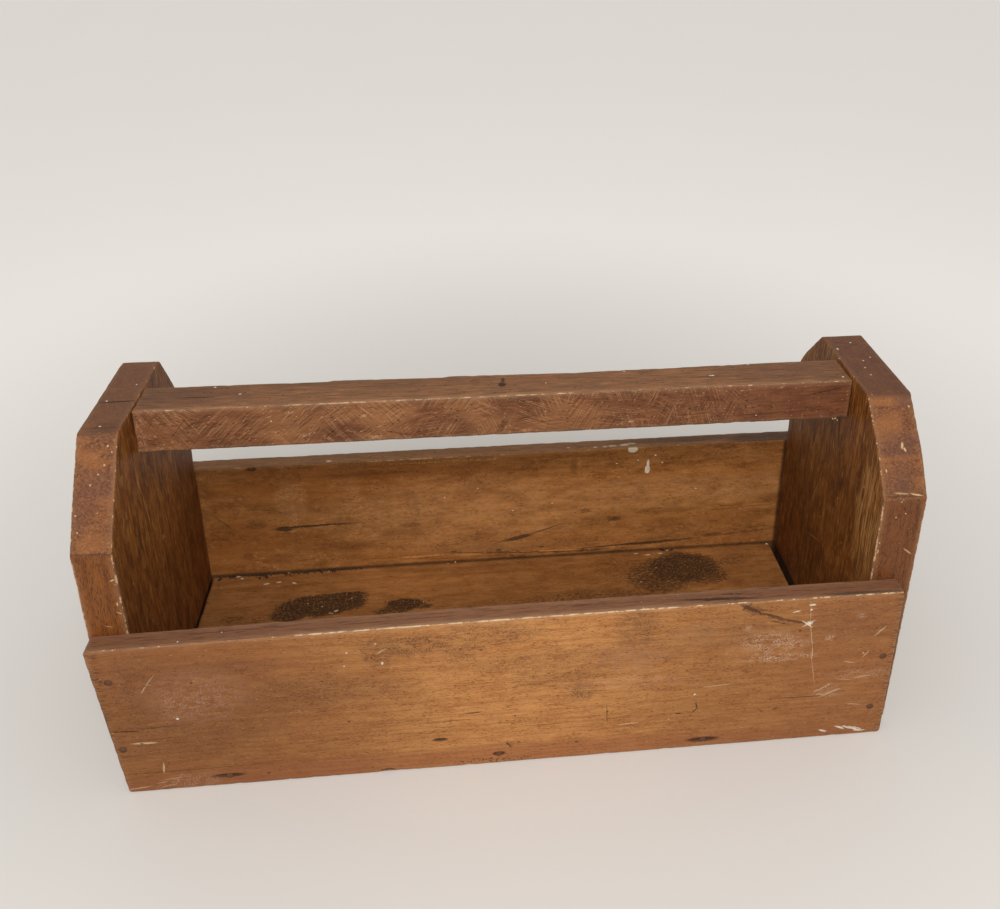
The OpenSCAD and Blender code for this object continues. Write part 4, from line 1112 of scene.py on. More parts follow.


# What differs between the two end boards: their tones, the rows of their marks and the patches of their painted
# shade.
END_LOOKS = {
    "left_end": {
        "pith": (20.0, 150.0),
        "front": ((140, 82, 37), 0.74),
        "streak": ((92, 50, 26), 0.4),
        "dash": (76, 40, 20),
        "painted_shade": (70, 34, 10),
        "level": (104, 70, 50),
        "shade": [
            (95, 120, 40, 120, 0.8, 0.7), (-100, 170, 30, 60, 0.8, 0.6), (20, 90, 60, 70, 0.8, 0.5),
        ],
        "marks": [
            line(-40, 285, -36, 268, 1.0), line(-32, 255, -28, 230, 1.0), line(-78, 279, -77, 271, 1.2, 0.7),
            line(-5, 192, 2, 184, 0.8), line(-6, 186, 3, 190, 0.8), (-4, 187.5, 1.2, 1.1),
            line(-24, 222, -14, 204, 0.8, 0.5), (27, 155, 1.1, 1.0), line(-64, 240, -60, 214, 0.8, 0.5),
            line(60, 262, 66, 238, 0.9, 0.4), (-90, 208, 0.9, 1.2), line(16, 240, 22, 262, 0.8, 0.4),
        ],
        "darks": [
            line(45, 225, 47, 190, 1.3), line(60, 210, 84, 160, 1.2, 0.6), line(-52, 240, -40, 150, 1.2, 0.5),
            line(10, 280, 18, 200, 1.1, 0.5),
        ],
        "comb": [],
        "orange": [
            (-377, 336, 13, 4.6, 0.5, 1, -22), (-371, 277, 12, 6, 0.6, 0.9, 8), (-385, 352, 5, 6, 0.6, 0.8),
            (-362, 300, 7, 8, 0.8, 0.4),
        ],
        "greys": [
            (-370, 316, 16, 9, 0.8, 0.7), (-384, 300, 8, 12, 0.8, 0.5),
        ],
        "chips": [
            (-362, 345, 0.9, 0.7), (-358, 340.5, 0.5, 0.8), (-364, 331.5, 0.8, 0.6), (-369, 325, 0.8, 0.6),
            (-375, 318, 0.6, 0.7), (-386, 297, 0.9, 0.6), (-384, 285, 0.7, 0.7), (-351, 203, 0.9, 9, 0.5, 0.8, 6),
            (-358, 240, 2.2, 0.7, 0.3, 1, 24), (-355, 234.5, 1.6, 0.7, 0.3, 1, -18), (-358, 213, 0.7, 2),
            line(-360, 204, -353, 200, 0.8), line(-372, 189, -366, 187, 0.8, 0.6),
        ],
        "seams": [
            line(-391, 269, -352, 268, 1.6, 0.8), line(-391, 353.5, -352, 355, 1.4, 0.6),
        ],
        "tops": [
            (-381, -8, 1.0, 0.9), (-373, -51, 1.1, 0.8), (-362, 20, 0.8, 0.7),
        ],
        "scored": [
            line(-391, -10.5, -353, -9.5, 1.5), line(-391, -53, -353, -54, 1.1, 0.5),
        ],
    },
    "right_end": {
        "pith": (-35.0, -170.0),
        "front": ((126, 75, 41), 0.76),
        "streak": ((80, 44, 26), 0.45),
        "dash": (68, 36, 20),
        "painted_shade": (62, 28, 8),
        "level": (88, 54, 42),
        "shade": [
            (60, 90, 60, 110, 0.8, 0.7), (10, 230, 50, 60, 0.8, 0.4), (-60, 60, 50, 50, 0.8, 0.5),
        ],
        "marks": [
            (-30, 210, 0.9, 1.5), (-52, 170, 0.8, 1.0), line(20, 190, 34, 150, 0.9, 0.4), (4, 158, 0.9, 0.9),
            line(40, 240, 44, 220, 1.0, 0.5), line(-8, 250, -2, 262, 1.0, 0.6), line(52, 206, 40, 196, 1.0, 0.5),
            (70, 186, 0.8, 0.8), line(0, 128, 30, 116, 0.9, 0.5), (-70, 130, 0.8, 1.0), (-80, 262, 1.0, 1.4),
            line(84, 232, 86, 214, 1.0, 0.5),
        ],
        "darks": [
            line(-8, 300, -14, 262, 2.4), line(-22, 330, -18, 300, 2.0, 0.8), line(64, 250, 70, 140, 1.4, 0.5),
            line(-44, 150, -42, 60, 1.2, 0.5),
        ],
        "comb": [(-96, 238, 20, 66, 0.5)],
        "orange": [
            (361, 351, 18, 5, 0.5), (360, 331, 15, 8, 0.5, 1, 25), (366, 308.5, 22, 2.2, 0.5, 0.8),
            (384, 291, 6, 4, 0.5, 0.9), (352, 296, 6, 6, 0.8, 0.5),
        ],
        "greys": [
            (381, 349, 10, 5, 0.6), (368, 318, 16, 8, 0.8, 0.7), (364, 292, 14, 9, 0.8, 0.6),
        ],
        "chips": [
            (371, 318, 1.0, 2.0, 0.6, 1, -20), (373, 315, 0.9, 1.4, 0.6, 1, 30), line(374, 281.5, 384, 279.5, 1.2),
            (348.5, 218, 0.9, 2.4), (349, 228, 0.7, 1.2), (361, 257, 0.9, 0.7), (370, 261, 0.7, 0.8),
            (364, 275, 0.7, 0.8), line(375, 219, 382, 213, 1.4, 0.7), line(358, 282.5, 370, 281.5, 1.1, 0.6),
            (352, 300, 0.7, 1.4), (385, 345, 1.1, 0.7),
        ],
        "seams": [
            line(347, 280, 390, 279, 1.4, 0.7), line(347, 354.5, 390, 354, 1.4, 0.6),
        ],
        "tops": [
            (371, 42, 1.1, 0.9), (369, 4, 0.9, 0.8), (379, 10, 0.8, 0.8), (365, -10, 0.9, 0.7), (365, -24, 1.1, 0.7),
            (352, 30, 0.9, 1.8),
        ],
        "scored": [
            line(352, 44, 378, 36, 1.2, 0.5), line(356, 12, 380, 8, 1.1, 0.4),
        ],
    },
}


def end_wood(node):
    """The wood of an end board: upright grain, dull end grain on its top and slopes."""
    low, high = box_mm(node)
    look = END_LOOKS[node]
    inner = high.x if node == "left_end" else low.x
    pith_y, pith_x = look["pith"]
    wood = WoodFinish(node + "_wood", "Z", (0.0, pith_y, inner + pith_x), 8.0, 14.0, 5.0)
    wood.base((146, 85, 30), (116, 62, 15), (104, 54, 14), (74, 36, 8), (168, 108, 44),
              rings=0.3, dashes=0.55, mottle=0.9, fibres=0.55)
    inside = wood.ramp(wood.math("ABSOLUTE", wood.math("SUBTRACT", wood.x, inner)), 3.0, 1.2)
    front = wood.both(wood.ramp(wood.y, -116.0, -119.5), wood.math("SUBTRACT", 1.0, wood.top_face))
    outside = wood.math("SUBTRACT", 1.0, inside)
    streaks = wood.noise(wood.along_grain, (60, 3.2, 3.2), 3.0, 0.6)
    wood.lay(wood.both(wood.ramp(streaks, 0.54, 0.7), inside), (176, 122, 58), 0.6)
    wood.lay(wood.both(wood.ramp(streaks, 0.47, 0.34), inside), (56, 28, 10), 0.6, relief=-0.1)
    blotches = wood.noise(wood.along_grain, (34, 13, 13), 4.0, 0.7)
    wood.lay(wood.both(wood.ramp(blotches, 0.52, 0.62), inside), (60, 30, 10), 0.5)
    wood.lay(wood.both(wood.ramp(blotches, 0.46, 0.38), inside), (180, 122, 60), 0.35)
    scores = wood.noise(wood.vector("ADD", wood.along_grain, (400.0, 0.0, 0.0)), (18, 0.9, 0.9), 1.0)
    wood.lay(wood.both(wood.ramp(scores, 0.61, 0.67), inside), (200, 146, 80), 0.7, relief=0.04)
    wood.lay(front, *look["front"])
    wood.lay(wood.both(wood.ramp(streaks, 0.5, 0.36), front), *look["streak"])
    wood.lay(wood.both(wood.ramp(wood.grain["Dashes"], 0.0, 0.6), front), look["dash"], 0.7, relief=-0.08)
    # Painted shade darkens the inner face in broad patches.
    wood.lay(wood.gather("side", look["shade"], inside, broad=8), look["painted_shade"], 0.6)
    if look["comb"]:
        teeth = wood.patches((9, 1.15, 38), 0.48, 0.58, 1.0)
        combed = wood.both(teeth, wood.gather("side", look["comb"], inside, broad=3))
        wood.lay(combed, (204, 154, 96), 0.72, relief=0.12)
    marks = wood.gather("side", look["marks"], inside, 0.6)
    darks = wood.gather("side", look["darks"], inside, 1.0)
    wood.lay(marks, (216, 168, 110), 0.75, 0.65)
    wood.lay(darks, SPLIT_DARK, 0.6, 0.75)
    # Dirt darkens the inner face low down along the bottom board, and painted shadow darkens its back corner against
    # the back board.
    floor_dirt = wood.ramp(wood.math("ADD", wood.z, wood.noise(wood.point, (9, 9, 4), 3.0)), 27.0, 24.0)
    painted_corner_shadow = wood.ramp(wood.y, 116.0, 119.5)
    wood.lay(wood.both(wood.math("MAXIMUM", floor_dirt, painted_corner_shadow), inside), (40, 22, 9), 0.75, 0.8)

    end_grain = wood.both(wood.top_face, outside)
    wood.lay(wood.top_face, (130, 82, 50), 0.84, 0.6)
    pores = wood.noise(wood.point, (2.6, 1.9, 2.0), 4.0, 0.75)
    wood.lay(wood.both(wood.ramp(pores, 0.5, 0.38), end_grain), (74, 42, 30), 0.7, relief=-0.1)
    wood.lay(wood.both(wood.ramp(pores, 0.54, 0.66), end_grain), (188, 134, 92), 0.4)
    bands = wood.noise(wood.point, (24, 20, 11), 3.0, 0.6)
    wood.lay(wood.both(wood.ramp(bands, 0.54, 0.66), end_grain), (162, 104, 60), 0.4)
    wood.lay(wood.both(wood.ramp(bands, 0.46, 0.34), end_grain), (100, 62, 46), 0.5)
    facing = wood.both(wood.math("MAXIMUM", wood.top_face, front), outside)
    seen = wood.both(wood.ramp(wood.y, -40.0, -50.0), facing)
    wood.lay(wood.gather("front", look["orange"], seen, 0.8, 4), (176, 112, 62), 0.42)
    wood.lay(wood.gather("front", look["greys"], seen, 0.8, 5), (108, 72, 58), 0.5)
    wood.lay(wood.gather("front", look["seams"], seen, 0.8), (56, 32, 20), 0.7, 0.7, -0.2)
    level = wood.both(wood.top_face, wood.ramp(wood.z, 350.0, 353.5))
    wood.lay(level, look["level"], 0.55)
    wood.lay(wood.gather("top", look["scored"], level, 0.5), SPLIT_DARK, 0.85, 0.7, -0.5)
    wood.lay(wood.gather("top", look["tops"], level, 0.4), OFF_WHITE, 0.85, 0.7)
    for row in (
        (9, 0.14, 0.08, PALE_SCRAPE, 0.4),
        (4, 0.3, 0.2, (70, 38, 18), 0.45, (1.9, 0.7, 0.7)),
        (12, 0.14, 0.07, SPLIT_DARK, 0.6, (1.6, 1, 1)),
    ):
        wood.specks(*row)
    wood.wear((230, 186, 142), 0.85, 0.85)
    wood.lay(wood.gather("front", look["chips"], seen, 0.6), (224, 186, 136), 0.88, 0.7, -0.2)
    wood.specks(21, 0.12, 0.035, OFF_WHITE, 0.7)
    wood.finish()


def start_material(name):
    """A new material, with its graph, the inputs of its shader and the place on the object."""
    material = bpy.data.materials.new(name)
    material.use_nodes = True
    graph = Graph(material.node_tree)
    shader = material.node_tree.nodes["Principled BSDF"].inputs
    return material, graph, shader, graph.add("ShaderNodeTexCoord").outputs["Object"]


def roughen(graph, shader, height, amount):
    """Raises and sinks a surface by an amount in millimetres."""
    bump = graph.add("ShaderNodeBump")
    graph.feed(bump.inputs["Distance"], MM)
    graph.feed(bump.inputs["Height"], graph.math("MULTIPLY", height, amount))
    graph.feed(shader["Normal"], bump.outputs[0])


def nail_metal():
    """Dull steel that has gone brown, with patches of rust and dark pits."""
    graph, shader, place = start_material("weathered_nail")[1:]
    point = graph.vector("SCALE", place, scale=1 / MM)
    patches = graph.noise(point, (2.4, 2.4, 2.4), 4.0, 0.65)
    pits = graph.noise(point, (0.7, 0.7, 0.7), 3.0, 0.6)
    rust = graph.ramp(patches, 0.42, 0.6)
    colour = graph.tint(rust, tone(104, 72, 50), tone(112, 66, 38))
    colour = graph.tint(graph.ramp(pits, 0.5, 0.34), colour, tone(62, 36, 22))
    graph.feed(shader["Base Color"], colour)
    graph.feed(shader["Metallic"], graph.ramp(rust, 0.0, 1.0, 0.15, 0.0))
    graph.feed(shader["Roughness"], graph.ramp(patches, 0.35, 0.65, 0.6, 0.88))
    roughen(graph, shader, pits, 0.12)


GLOW_START, GLOW_END, GLOW, CLOUD_TINT = 0.22, 1.35, 0.40, 0.985


def floor_paint(colour, seen):
    """A plain pale floor that keeps its shadows: seen directly it is paler, and evenly lit far off."""
    material, graph, shader, point = start_material("floor_paint")
    cloud = graph.noise(point, (0.4, 0.4, 0.4), 3.0)
    watched = is_watched(graph)
    far = graph.ramp(graph.vector("LENGTH", point), GLOW_START, GLOW_END)
    clouded = graph.tint(cloud, seen, tuple(v * CLOUD_TINT for v in seen))
    graph.feed(shader["Base Color"], graph.tint(watched, colour, clouded))
    graph.feed(shader["Roughness"], graph.ramp(cloud, 0.3, 0.7, 0.78, 0.86))
    graph.feed(shader["Specular IOR Level"], 0.1)
    glow = graph.tint(graph.math("MULTIPLY", watched, far), NO_POINT, tuple(v * GLOW for v in seen))
    graph.feed(shader["Emission Color"], glow)
    graph.feed(shader["Emission Strength"], 1.0)
    return material


def is_watched(graph):
    """One for rays from the camera, in reflections and through glass."""
    path = graph.add("ShaderNodeLightPath").outputs
    mirrored = graph.math("MAXIMUM", path["Is Glossy Ray"], path["Is Transmission Ray"])
    return graph.math("MAXIMUM", path["Is Camera Ray"], mirrored)


# --------------------------------------------------------------------------------------
# Operators, one for each piece or group of like pieces
# --------------------------------------------------------------------------------------

ALL_NAILS = ("front_left_nails", "front_right_nails", "front_bottom_nails", "back_left_nails",
             "back_right_nails", "back_bottom_nails", "left_handle_nails", "right_handle_nails")
FOOT_WEAR_HEIGHT, FOOT_WEAR_START, FOOT_WEAR_BLEND = 110, 60, 60
SLOPE_BULGE_RADIUS = 70


def bulge_point(shoulder, top, bulge):
    """The corner of a slope that stands a little proud, two fifths of the way up."""
    run = Vector(top) - Vector(shoulder)
    outward = Vector((run.y, -run.x)).normalized() * (1 if shoulder[0] > 0 else -1)
    return tuple(Vector(shoulder) + run * 0.4 + outward * bulge)


def make_end_board(node, sizes, seed, worn, hollows):
    """An end board: upright to the shoulders, then sloped in to a flat top, its outer face leaning."""
    scene = bpy.context.scene
    shape, wear = scene.caddy_shape, scene.caddy_wear
    shoulder, flat, shift, bulge, foot, worn_foot = (size / MM for size in sizes)
    low, high = box_mm(node)
    left = node == "left_end"
    inner, reach, outward = (high.x, high.x - low.x, -1) if left else (low.x, high.x - low.x, 1)
    arris, step = wear.arris / MM, wear.mesh_step / MM
    half, top = high.y, high.z
    back_top, front_top = (shift + flat / 2, top), (shift - flat / 2, top)
    corners = [(-half, 0), (half, 0), (half, shoulder), bulge_point((half, shoulder), back_top, bulge),
               back_top, front_top, bulge_point((-half, shoulder), front_top, bulge), (-half, shoulder)]
    soft = shape.shoulder_corner / MM
    radii = [arris, arris, soft * 2, SLOPE_BULGE_RADIUS, shape.top_back_corner / MM,
             shape.top_front_corner / MM, SLOPE_BULGE_RADIUS, soft]
    names = ("bottom", "back", "back slope", "back slope", "top", "front slope", "front slope", "front")
    bm = bmesh.new()
    saw_blank(bm, "X", corners, radii, low.x, high.x, arris)
    planes = board_planes("X", corners, names, low.x, high.x)

    def thickness(z):
        return foot + (reach - foot) * z / top

    planes["right" if left else "left"] = lambda p: (p.x - inner) * outward
    planes["left" if left else "right"] = lambda p: thickness(p.z) - (p.x - inner) * outward
    for index in (2, 3, 5, 6):
        start, end = Vector(corners[index]), Vector(corners[index + 1])
        run = (end - start).normalized()
        normal = Vector((0, run.y, -run.x))
        for depth in EDGE_CUTS:
            foot_point = Vector((0, *start)) - normal * depth
            bmesh.ops.bisect_plane(bm, geom=everything(bm), dist=0.01, plane_co=foot_point, plane_no=normal)
    rule_faces(bm, step * 1.3, X=(low.x, high.x))
    rule_faces(bm, step, Y=(-half, half), Z=(0, top))
    for vert in bm.verts:
        vert.co.x = inner + (vert.co.x - inner) * thickness(vert.co.z) / reach
        low_down = max(0.0, 1 - vert.co.z / FOOT_WEAR_HEIGHT)
        in_front = max(0.0, (-vert.co.y - FOOT_WEAR_START) / FOOT_WEAR_BLEND)
        vert.co.x -= (vert.co.x - inner) / reach * worn_foot * low_down * min(1.0, in_front)
    weather(bm, planes, wear, seed)
    piece = to_object(bm, node.replace("_end", "_end_board"))
    side = node.split("_")[0]
    drill(piece, (f"front_{side}_nails", f"back_{side}_nails", f"{side}_handle_nails"))
    hollow_out(piece, hollows)
    mark_edges(piece, planes, worn, ("top", "front slope", "back slope"))
    finish_piece(piece, bpy.data.materials[f"{side}_end_wood"], [node])


def end_worn(front, slope, crease):
    """How worn the edges of an end board are: its upright front, its slopes, and the creases between."""

    def worn(pair, point):
        if "bottom" in pair:
            return 0.3
        if not pair & {"left", "right"}:
            return crease
        if pair & {"front", "back"}:
            return front
        return slope if pair & {"front slope", "back slope"} else 0.3

    return worn


class TOOL_CADDY_OT_finishes(bpy.types.Operator):
    """Make the wood and steel finishes"""

    bl_idname = "tool_caddy.finishes"
    bl_label = "Finishes"

    def execute(self, context):
        build_groups()
        end_wood("left_end")
        end_wood("right_end")
        for finish in (front_wood, back_wood, bottom_wood, bar_wood, nail_metal):
            finish()
        return {"FINISHED"}


class TOOL_CADDY_OT_end_boards(bpy.types.Operator):
    """Make the two shaped end boards"""

    bl_idname = "tool_caddy.end_boards"
    bl_label = "End Boards"

    def execute(self, context):
        shape = context.scene.caddy_shape
        left = (shape.left_shoulder, shape.left_flat, shape.left_top_shift, shape.left_slope_bulge,
                shape.left_foot, shape.left_foot_wear)
        right = (shape.right_shoulder, shape.right_flat, 0.0, shape.right_slope_bulge, shape.right_foot, 0.0)
        top_score = ((-372, -10, 355.4), (24, 0.7, 1.1))
        make_end_board("left_end", left, 1, end_worn(0.95, 0.5, 0.1), [top_score])
        make_end_board("right_end", right, 2, end_worn(0.85, 0.5, 0.15), [])
        return {"FINISHED"}


class TOOL_CADDY_OT_front_board(bpy.types.Operator):
    """Make the front board, with its slanted left end and crowned top"""

    bl_idname = "tool_caddy.front_board"
    bl_label = "Front Board"

    def execute(self, context):
        shape, wear = context.scene.caddy_shape, context.scene.caddy_wear
        low, high = box_mm("front_board")
        left, right = shape.front_left_height / MM, shape.front_right_height / MM
        slant, crown, round_off = shape.front_slant / MM, shape.front_crown / MM, shape.board_corner / MM
        step = wear.mesh_step / MM

        def crown_at(x):
            along = (x - low.x) / (high.x - low.x)
            return crown * 4 * along * (1 - along)

        def top_at(x):
            along = (x - low.x) / (high.x - low.x)
            return left + (right - left) * along + crown_at(x)

        corners = [(low.x + slant, 0), (high.x, 0), (high.x, right), (low.x, left)]
        bm = bmesh.new()
        saw_blank(bm, "Y", corners, [round_off] * 4, low.y, high.y, wear.arris / MM)
        rule_faces(bm, step, Y=(low.y, high.y), Z=(0, left), X=(low.x, high.x))
        for vert in bm.verts:
            vert.co.z += crown_at(vert.co.x) * vert.co.z / left
        planes = board_planes("Y", corners, ("bottom", "right", "top", "left"), low.y, high.y)
        planes["top"] = lambda p: top_at(p.x) - p.z
        weather(bm, planes, wear, 3)
        piece = to_object(bm, "front_side_board")
        drill(piece, ALL_NAILS[:3])
        face = low.y
        hollow_out(piece, [
            ((-280, face - 0.6, 13), (14, 2.0, 2.3)), ((-19, face - 0.4, 13), (5.6, 1.8, 2.4)),
            ((186, face - 0.6, 10), (14.5, 2.0, 2.8)), ((-76, face, 38), (6.6, 1.6, 1.9)),
            ((-128, face, 2.6), (6.2, 1.6, 1.9)), ((222, face, 176), (13, 1.1, 2.0), 34),
            ((242, face, 165.5), (14, 1.3, 2.1), 18), ((266, face, 156.5), (14, 1.0, 1.5), 14),
            ((281, face, 153.5), (2.6, 0.9, 2.2)), ((310, face - 0.2, 8.6), (4.6, 0.8, 1.2), 16),
            ((331, face - 0.2, 10.5), (7.5, 1.0, 1.3), 24), ((345, face - 0.2, 8), (9, 1.1, 1.4), 26),
            ((-351, face - 0.3, 63.2), (9.5, 0.7, 1.0)), ((194, -133, top_at(194) + 0.2), (40, 0.9, 1.4), 3, "Z"),
            ((333, -136.8, top_at(333) + 0.2), (38, 1.0, 1.5), 1, "Z"),
        ])

        def worn(pair, point):
            # Stronger wear along the middle of the top front edge and high on the left edge: worn wood that also
            # serves as painted highlight.
            if pair == {"front", "top"}:
                if point.x < -200:
                    return 0.55
                return 1.1 if point.x < 150 else 0.7
            if pair == {"front", "left"}:
                return 1.0 if point.z > 155 else 0.35
            if pair == {"front", "right"}:
                return 0.45
            return 0.3 if "bottom" in pair else 0.45

        mark_edges(piece, planes, worn)
        finish_piece(piece, bpy.data.materials["front_wood"], ["front_board"])
        return {"FINISHED"}


SLIVER_PARTS = 18


class TOOL_CADDY_OT_back_board(bpy.types.Operator):
    """Make the back board, with its split and its long crack"""

    bl_idname = "tool_caddy.back_board"
    bl_label = "Back Board"

    def execute(self, context):
        shape, wear = context.scene.caddy_shape, context.scene.caddy_wear
        low, high = box_mm("back_board")
        step = wear.mesh_step / MM
        corners = [(low.x, 0), (high.x, 0), (high.x, high.z), (low.x, high.z)]
        bm = bmesh.new()
        saw_blank(bm, "Y", corners, [shape.board_corner / MM] * 4, low.y, high.y, wear.arris / MM)
        rule_faces(bm, step, Y=(low.y, high.y), Z=(0, high.z), X=(low.x, high.x))
        planes = board_planes("Y", corners, ("bottom", "right", "top", "left"), low.y, high.y)
        weather(bm, planes, wear, 4)
        piece = to_object(bm, "back_side_board")
        drill(piece, ALL_NAILS[3:6])
        face = low.y
        hollow_out(piece, [
            ((18, face, 55.5), (18, 1.8, 1.7), -14), ((50, face, 65), (21, 0.9, 0.7), -18),
            ((132, face, 31.4), (42, 2.4, 2.1), -2.5), ((108, face, 30.6), (18, 2.6, 2.4), -2),
            ((200, face, 35), (36, 1.0, 0.9), -4), ((-225, face, 90.2), (44, 0.8, 1.3), -1.5),
            ((-291, face, 176), (4.5, 2.2, 1.8)),
        ])

        def worn(pair, point):
            if pair == {"front", "top"}:
                return 0.7 if -160 < point.x < 10 else 0.35
            return 0.3

        mark_edges(piece, planes, worn)
        finish_piece(piece, bpy.data.materials["back_wood"], ["back_board"])
        bm = bmesh.new()
        for index in range(SLIVER_PARTS + 1):
            along = index / SLIVER_PARTS
            thick = math.sin(math.pi * min(1.0, along * 1.15 + 0.04)) ** 0.6
            if along >= 0.86:
                thick = max(0.1, (1 - along) * 5)
            proud = 0.9 * thick * (0.6 + 0.5 * noise.noise(Vector((along * 9, 0.3, 0))))
            tall = 1.4 + 2.2 * thick * (0.8 + 0.5 * noise.noise(Vector((along * 7, 2.3, 0))))
            place = (-116 + 208 * along, face - 0.1 - proud, 34.5 - 4.0 * along)
            lens(bm, place, (9.5, 0.9, tall), 1.2)
        tidy(bm)
        sliver = to_object(bm, "lifted_sliver")
        mark_edges(sliver, planes, lambda pair, point: 0.2)
        finish_piece(sliver, bpy.data.materials["back_wood"], [], CRUMB_SHARP)
        return {"FINISHED"}


class TOOL_CADDY_OT_bottom_board(bpy.types.Operator):
    """Make the bottom board, sawn a little out of square at its right end"""

    bl_idname = "tool_caddy.bottom_board"
    bl_label = "Bottom Board"

    def execute(self, context):
        shape, wear = context.scene.caddy_shape, context.scene.caddy_wear
        low, high = box_mm("bottom_board")
        step = wear.mesh_step / MM
        skew = (shape.right_gap_back - shape.right_gap_front) / MM
        corners = [(low.x, low.y), (high.x, low.y), (high.x - skew, high.y), (low.x, high.y)]
        bm = bmesh.new()
        saw_blank(bm, "Z", corners, [0.6] * 4, low.z, high.z, 0.7)
        rule_faces(bm, step, Z=(low.z, high.z), Y=(low.y, high.y), X=(low.x, high.x))
        planes = board_planes("Z", corners, ("front", "right", "back", "left"), low.z, high.z)
        weather(bm, planes, wear, 5)
        piece = to_object(bm, "bottom_plank")
        drill(piece, ("front_bottom_nails", "back_bottom_nails"))
        mark_edges(piece, planes, lambda pair, point: 0.3)
        finish_piece(piece, bpy.data.materials["bottom_wood"], ["bottom_board"])
        return {"FINISHED"}


# How far the bar's upper back edge is cut away, at places along it.
WHITTLED = ((-356, 0.4), (-320, 0.5), (-178, 1.5), (-170, 0.1), (-64, 3.2), (-56, 1.0), (60, 4.2), (180, 2.4),
            (300, 0.2), (350, 0.0))


def table_value(table, place):
    """The value of a table of places and values at a place between them."""
    for (start, low), (end, high) in zip(table, table[1:]):
        if start <= place <= end:
            return low + (high - low) * (place - start) / (end - start)
    return 0.0


class TOOL_CADDY_OT_carrying_bar(bpy.types.Operator):
    """Make the square carrying bar between the end boards"""

    bl_idname = "tool_caddy.carrying_bar"
    bl_label = "Carrying Bar"

    def execute(self, context):
        shape, wear = context.scene.caddy_shape, context.scene.caddy_wear
        low, high = box_mm("handle")
        top = box_mm("left_end")[1].z
        left_top, right_top = top - shape.bar_left_drop / MM, top - shape.bar_right_drop / MM
        left_low, right_low = left_top - shape.bar_left_height / MM, right_top - shape.bar_right_height / MM
        step = wear.mesh_step / MM
        corners = [(low.x, left_low), (high.x, right_low), (high.x, right_top), (low.x, left_top)]
        bm = bmesh.new()
        saw_blank(bm, "Y", corners, [0.8] * 4, low.y, high.y, wear.arris / MM)
        rule_faces(bm, step, Y=(low.y, high.y), Z=(low.z, high.z), X=(low.x, high.x))
        planes = board_planes("Y", corners, ("bottom", "right", "top", "left"), low.y, high.y)
        middle, half = (low.y + high.y) / 2, (high.y - low.y) / 2
        weather(bm, planes, wear, 6)
        for vert in bm.verts:
            near_back = max(0.0, (vert.co.y - middle) / half)
            near_top = max(0.0, 1 - planes["top"](vert.co) / 16)
            vert.co.y -= table_value(WHITTLED, vert.co.x) * near_back * near_top
        piece = to_object(bm, "carrying_bar")
        drill(piece, ALL_NAILS[6:])
        face = low.y
        hollow_out(piece, [
            ((-5, -6, high.z - 0.6), (4.6, 3.4, 1.8), 20, "Z"), ((-3, 3, high.z - 0.6), (3.2, 3.4, 1.4), 0, "Z"),
            ((324, face, 340), (27, 0.9, 0.8), -12), ((-311, face, 306.5), (6.5, 1.6, 1.8)),
            ((-60, face, 308.5), (7, 1.6, 1.8)), ((20, face, 307.5), (8, 1.4, 1.8)),
            ((-176, face, 308.5), (6, 1.4, 1.8)), ((-240, face, 352.6), (9, 1.6, 1.2)),
            ((-128, face, 352.4), (7, 1.5, 1.3)), ((94, face, 351.4), (10, 1.6, 1.3)),
        ])

        def worn(pair, point):
            if pair == {"front", "top"}:
                return 0.95 if -210 < point.x < 60 else 0.7
            return 0.45 if "front" in pair else 0.4

        mark_edges(piece, planes, worn)
        finish_piece(piece, bpy.data.materials["bar_wood"], ["handle"])
        return {"FINISHED"}


class TOOL_CADDY_OT_nails(bpy.types.Operator):
    """Make the nails, with slightly domed heads"""

    bl_idname = "tool_caddy.nails"
    bl_label = "Nails"

    def execute(self, context):
        steel = bpy.data.materials["weathered_nail"]
        for node in ALL_NAILS:
            bm = bmesh.new()
            for nail in nails_of(node):
                spin_profile(bm, nail_profile(nail), nail.matrix())
            tidy(bm)
            piece = to_object(bm, node + "_driven")
            finish_piece(piece, steel, [node])
        return {"FINISHED"}


def add_crumb(bm, place, size, seed):
    """A small broken bit of wood or dirt, sitting on what is under it."""
    made = bmesh.ops.create_icosphere(bm, subdivisions=1, radius=1.0)["verts"]
    for index, vert in enumerate(made):
        vert.co *= 0.75 + 0.5 * noise.noise(Vector((seed * 3.7 + index * 1.3, seed, index * 0.7)))
    spin = Euler((noise.noise(Vector((seed, 2.2, 0))) * 0.8, noise.noise(Vector((seed, 5.1, 0))) * 0.8, seed * 2.4),
                 "XYZ")
    bmesh.ops.scale(bm, vec=size, verts=made)
    bmesh.ops.rotate(bm, verts=made, cent=(0, 0, 0), matrix=spin.to_matrix())
    lowest = min(vert.co.z for vert in made)
    bmesh.ops.translate(bm, verts=made, vec=Vector(place) - Vector((0, 0, lowest + min(0.3, size[2] * 0.3))))


def crumb_material(name, colour, other):
    """Rough dirt or bare wood for loose bits."""
    material, graph, shader, place = start_material(name)
    point = graph.vector("SCALE", place, scale=1 / MM)
    grains = graph.noise(point, (1.6, 1.6, 1.6), 3.0, 0.6)
    graph.feed(shader["Base Color"], graph.tint(graph.ramp(grains, 0.35, 0.65), colour, other))
    graph.feed(shader["Roughness"], graph.ramp(grains, 0.3, 0.7, 0.75, 0.95))
    roughen(graph, shader, grains, 0.3)
    return material


# Grit along the back of the bottom board: how many bits, where they start, over what length, and
# the share of that length from one to the next.
LEFT_GRIT, RIGHT_GRIT = (150, -346, 172, 0.61803), (60, 20, 320, 0.7548)
GRIT_GAP = 0.8

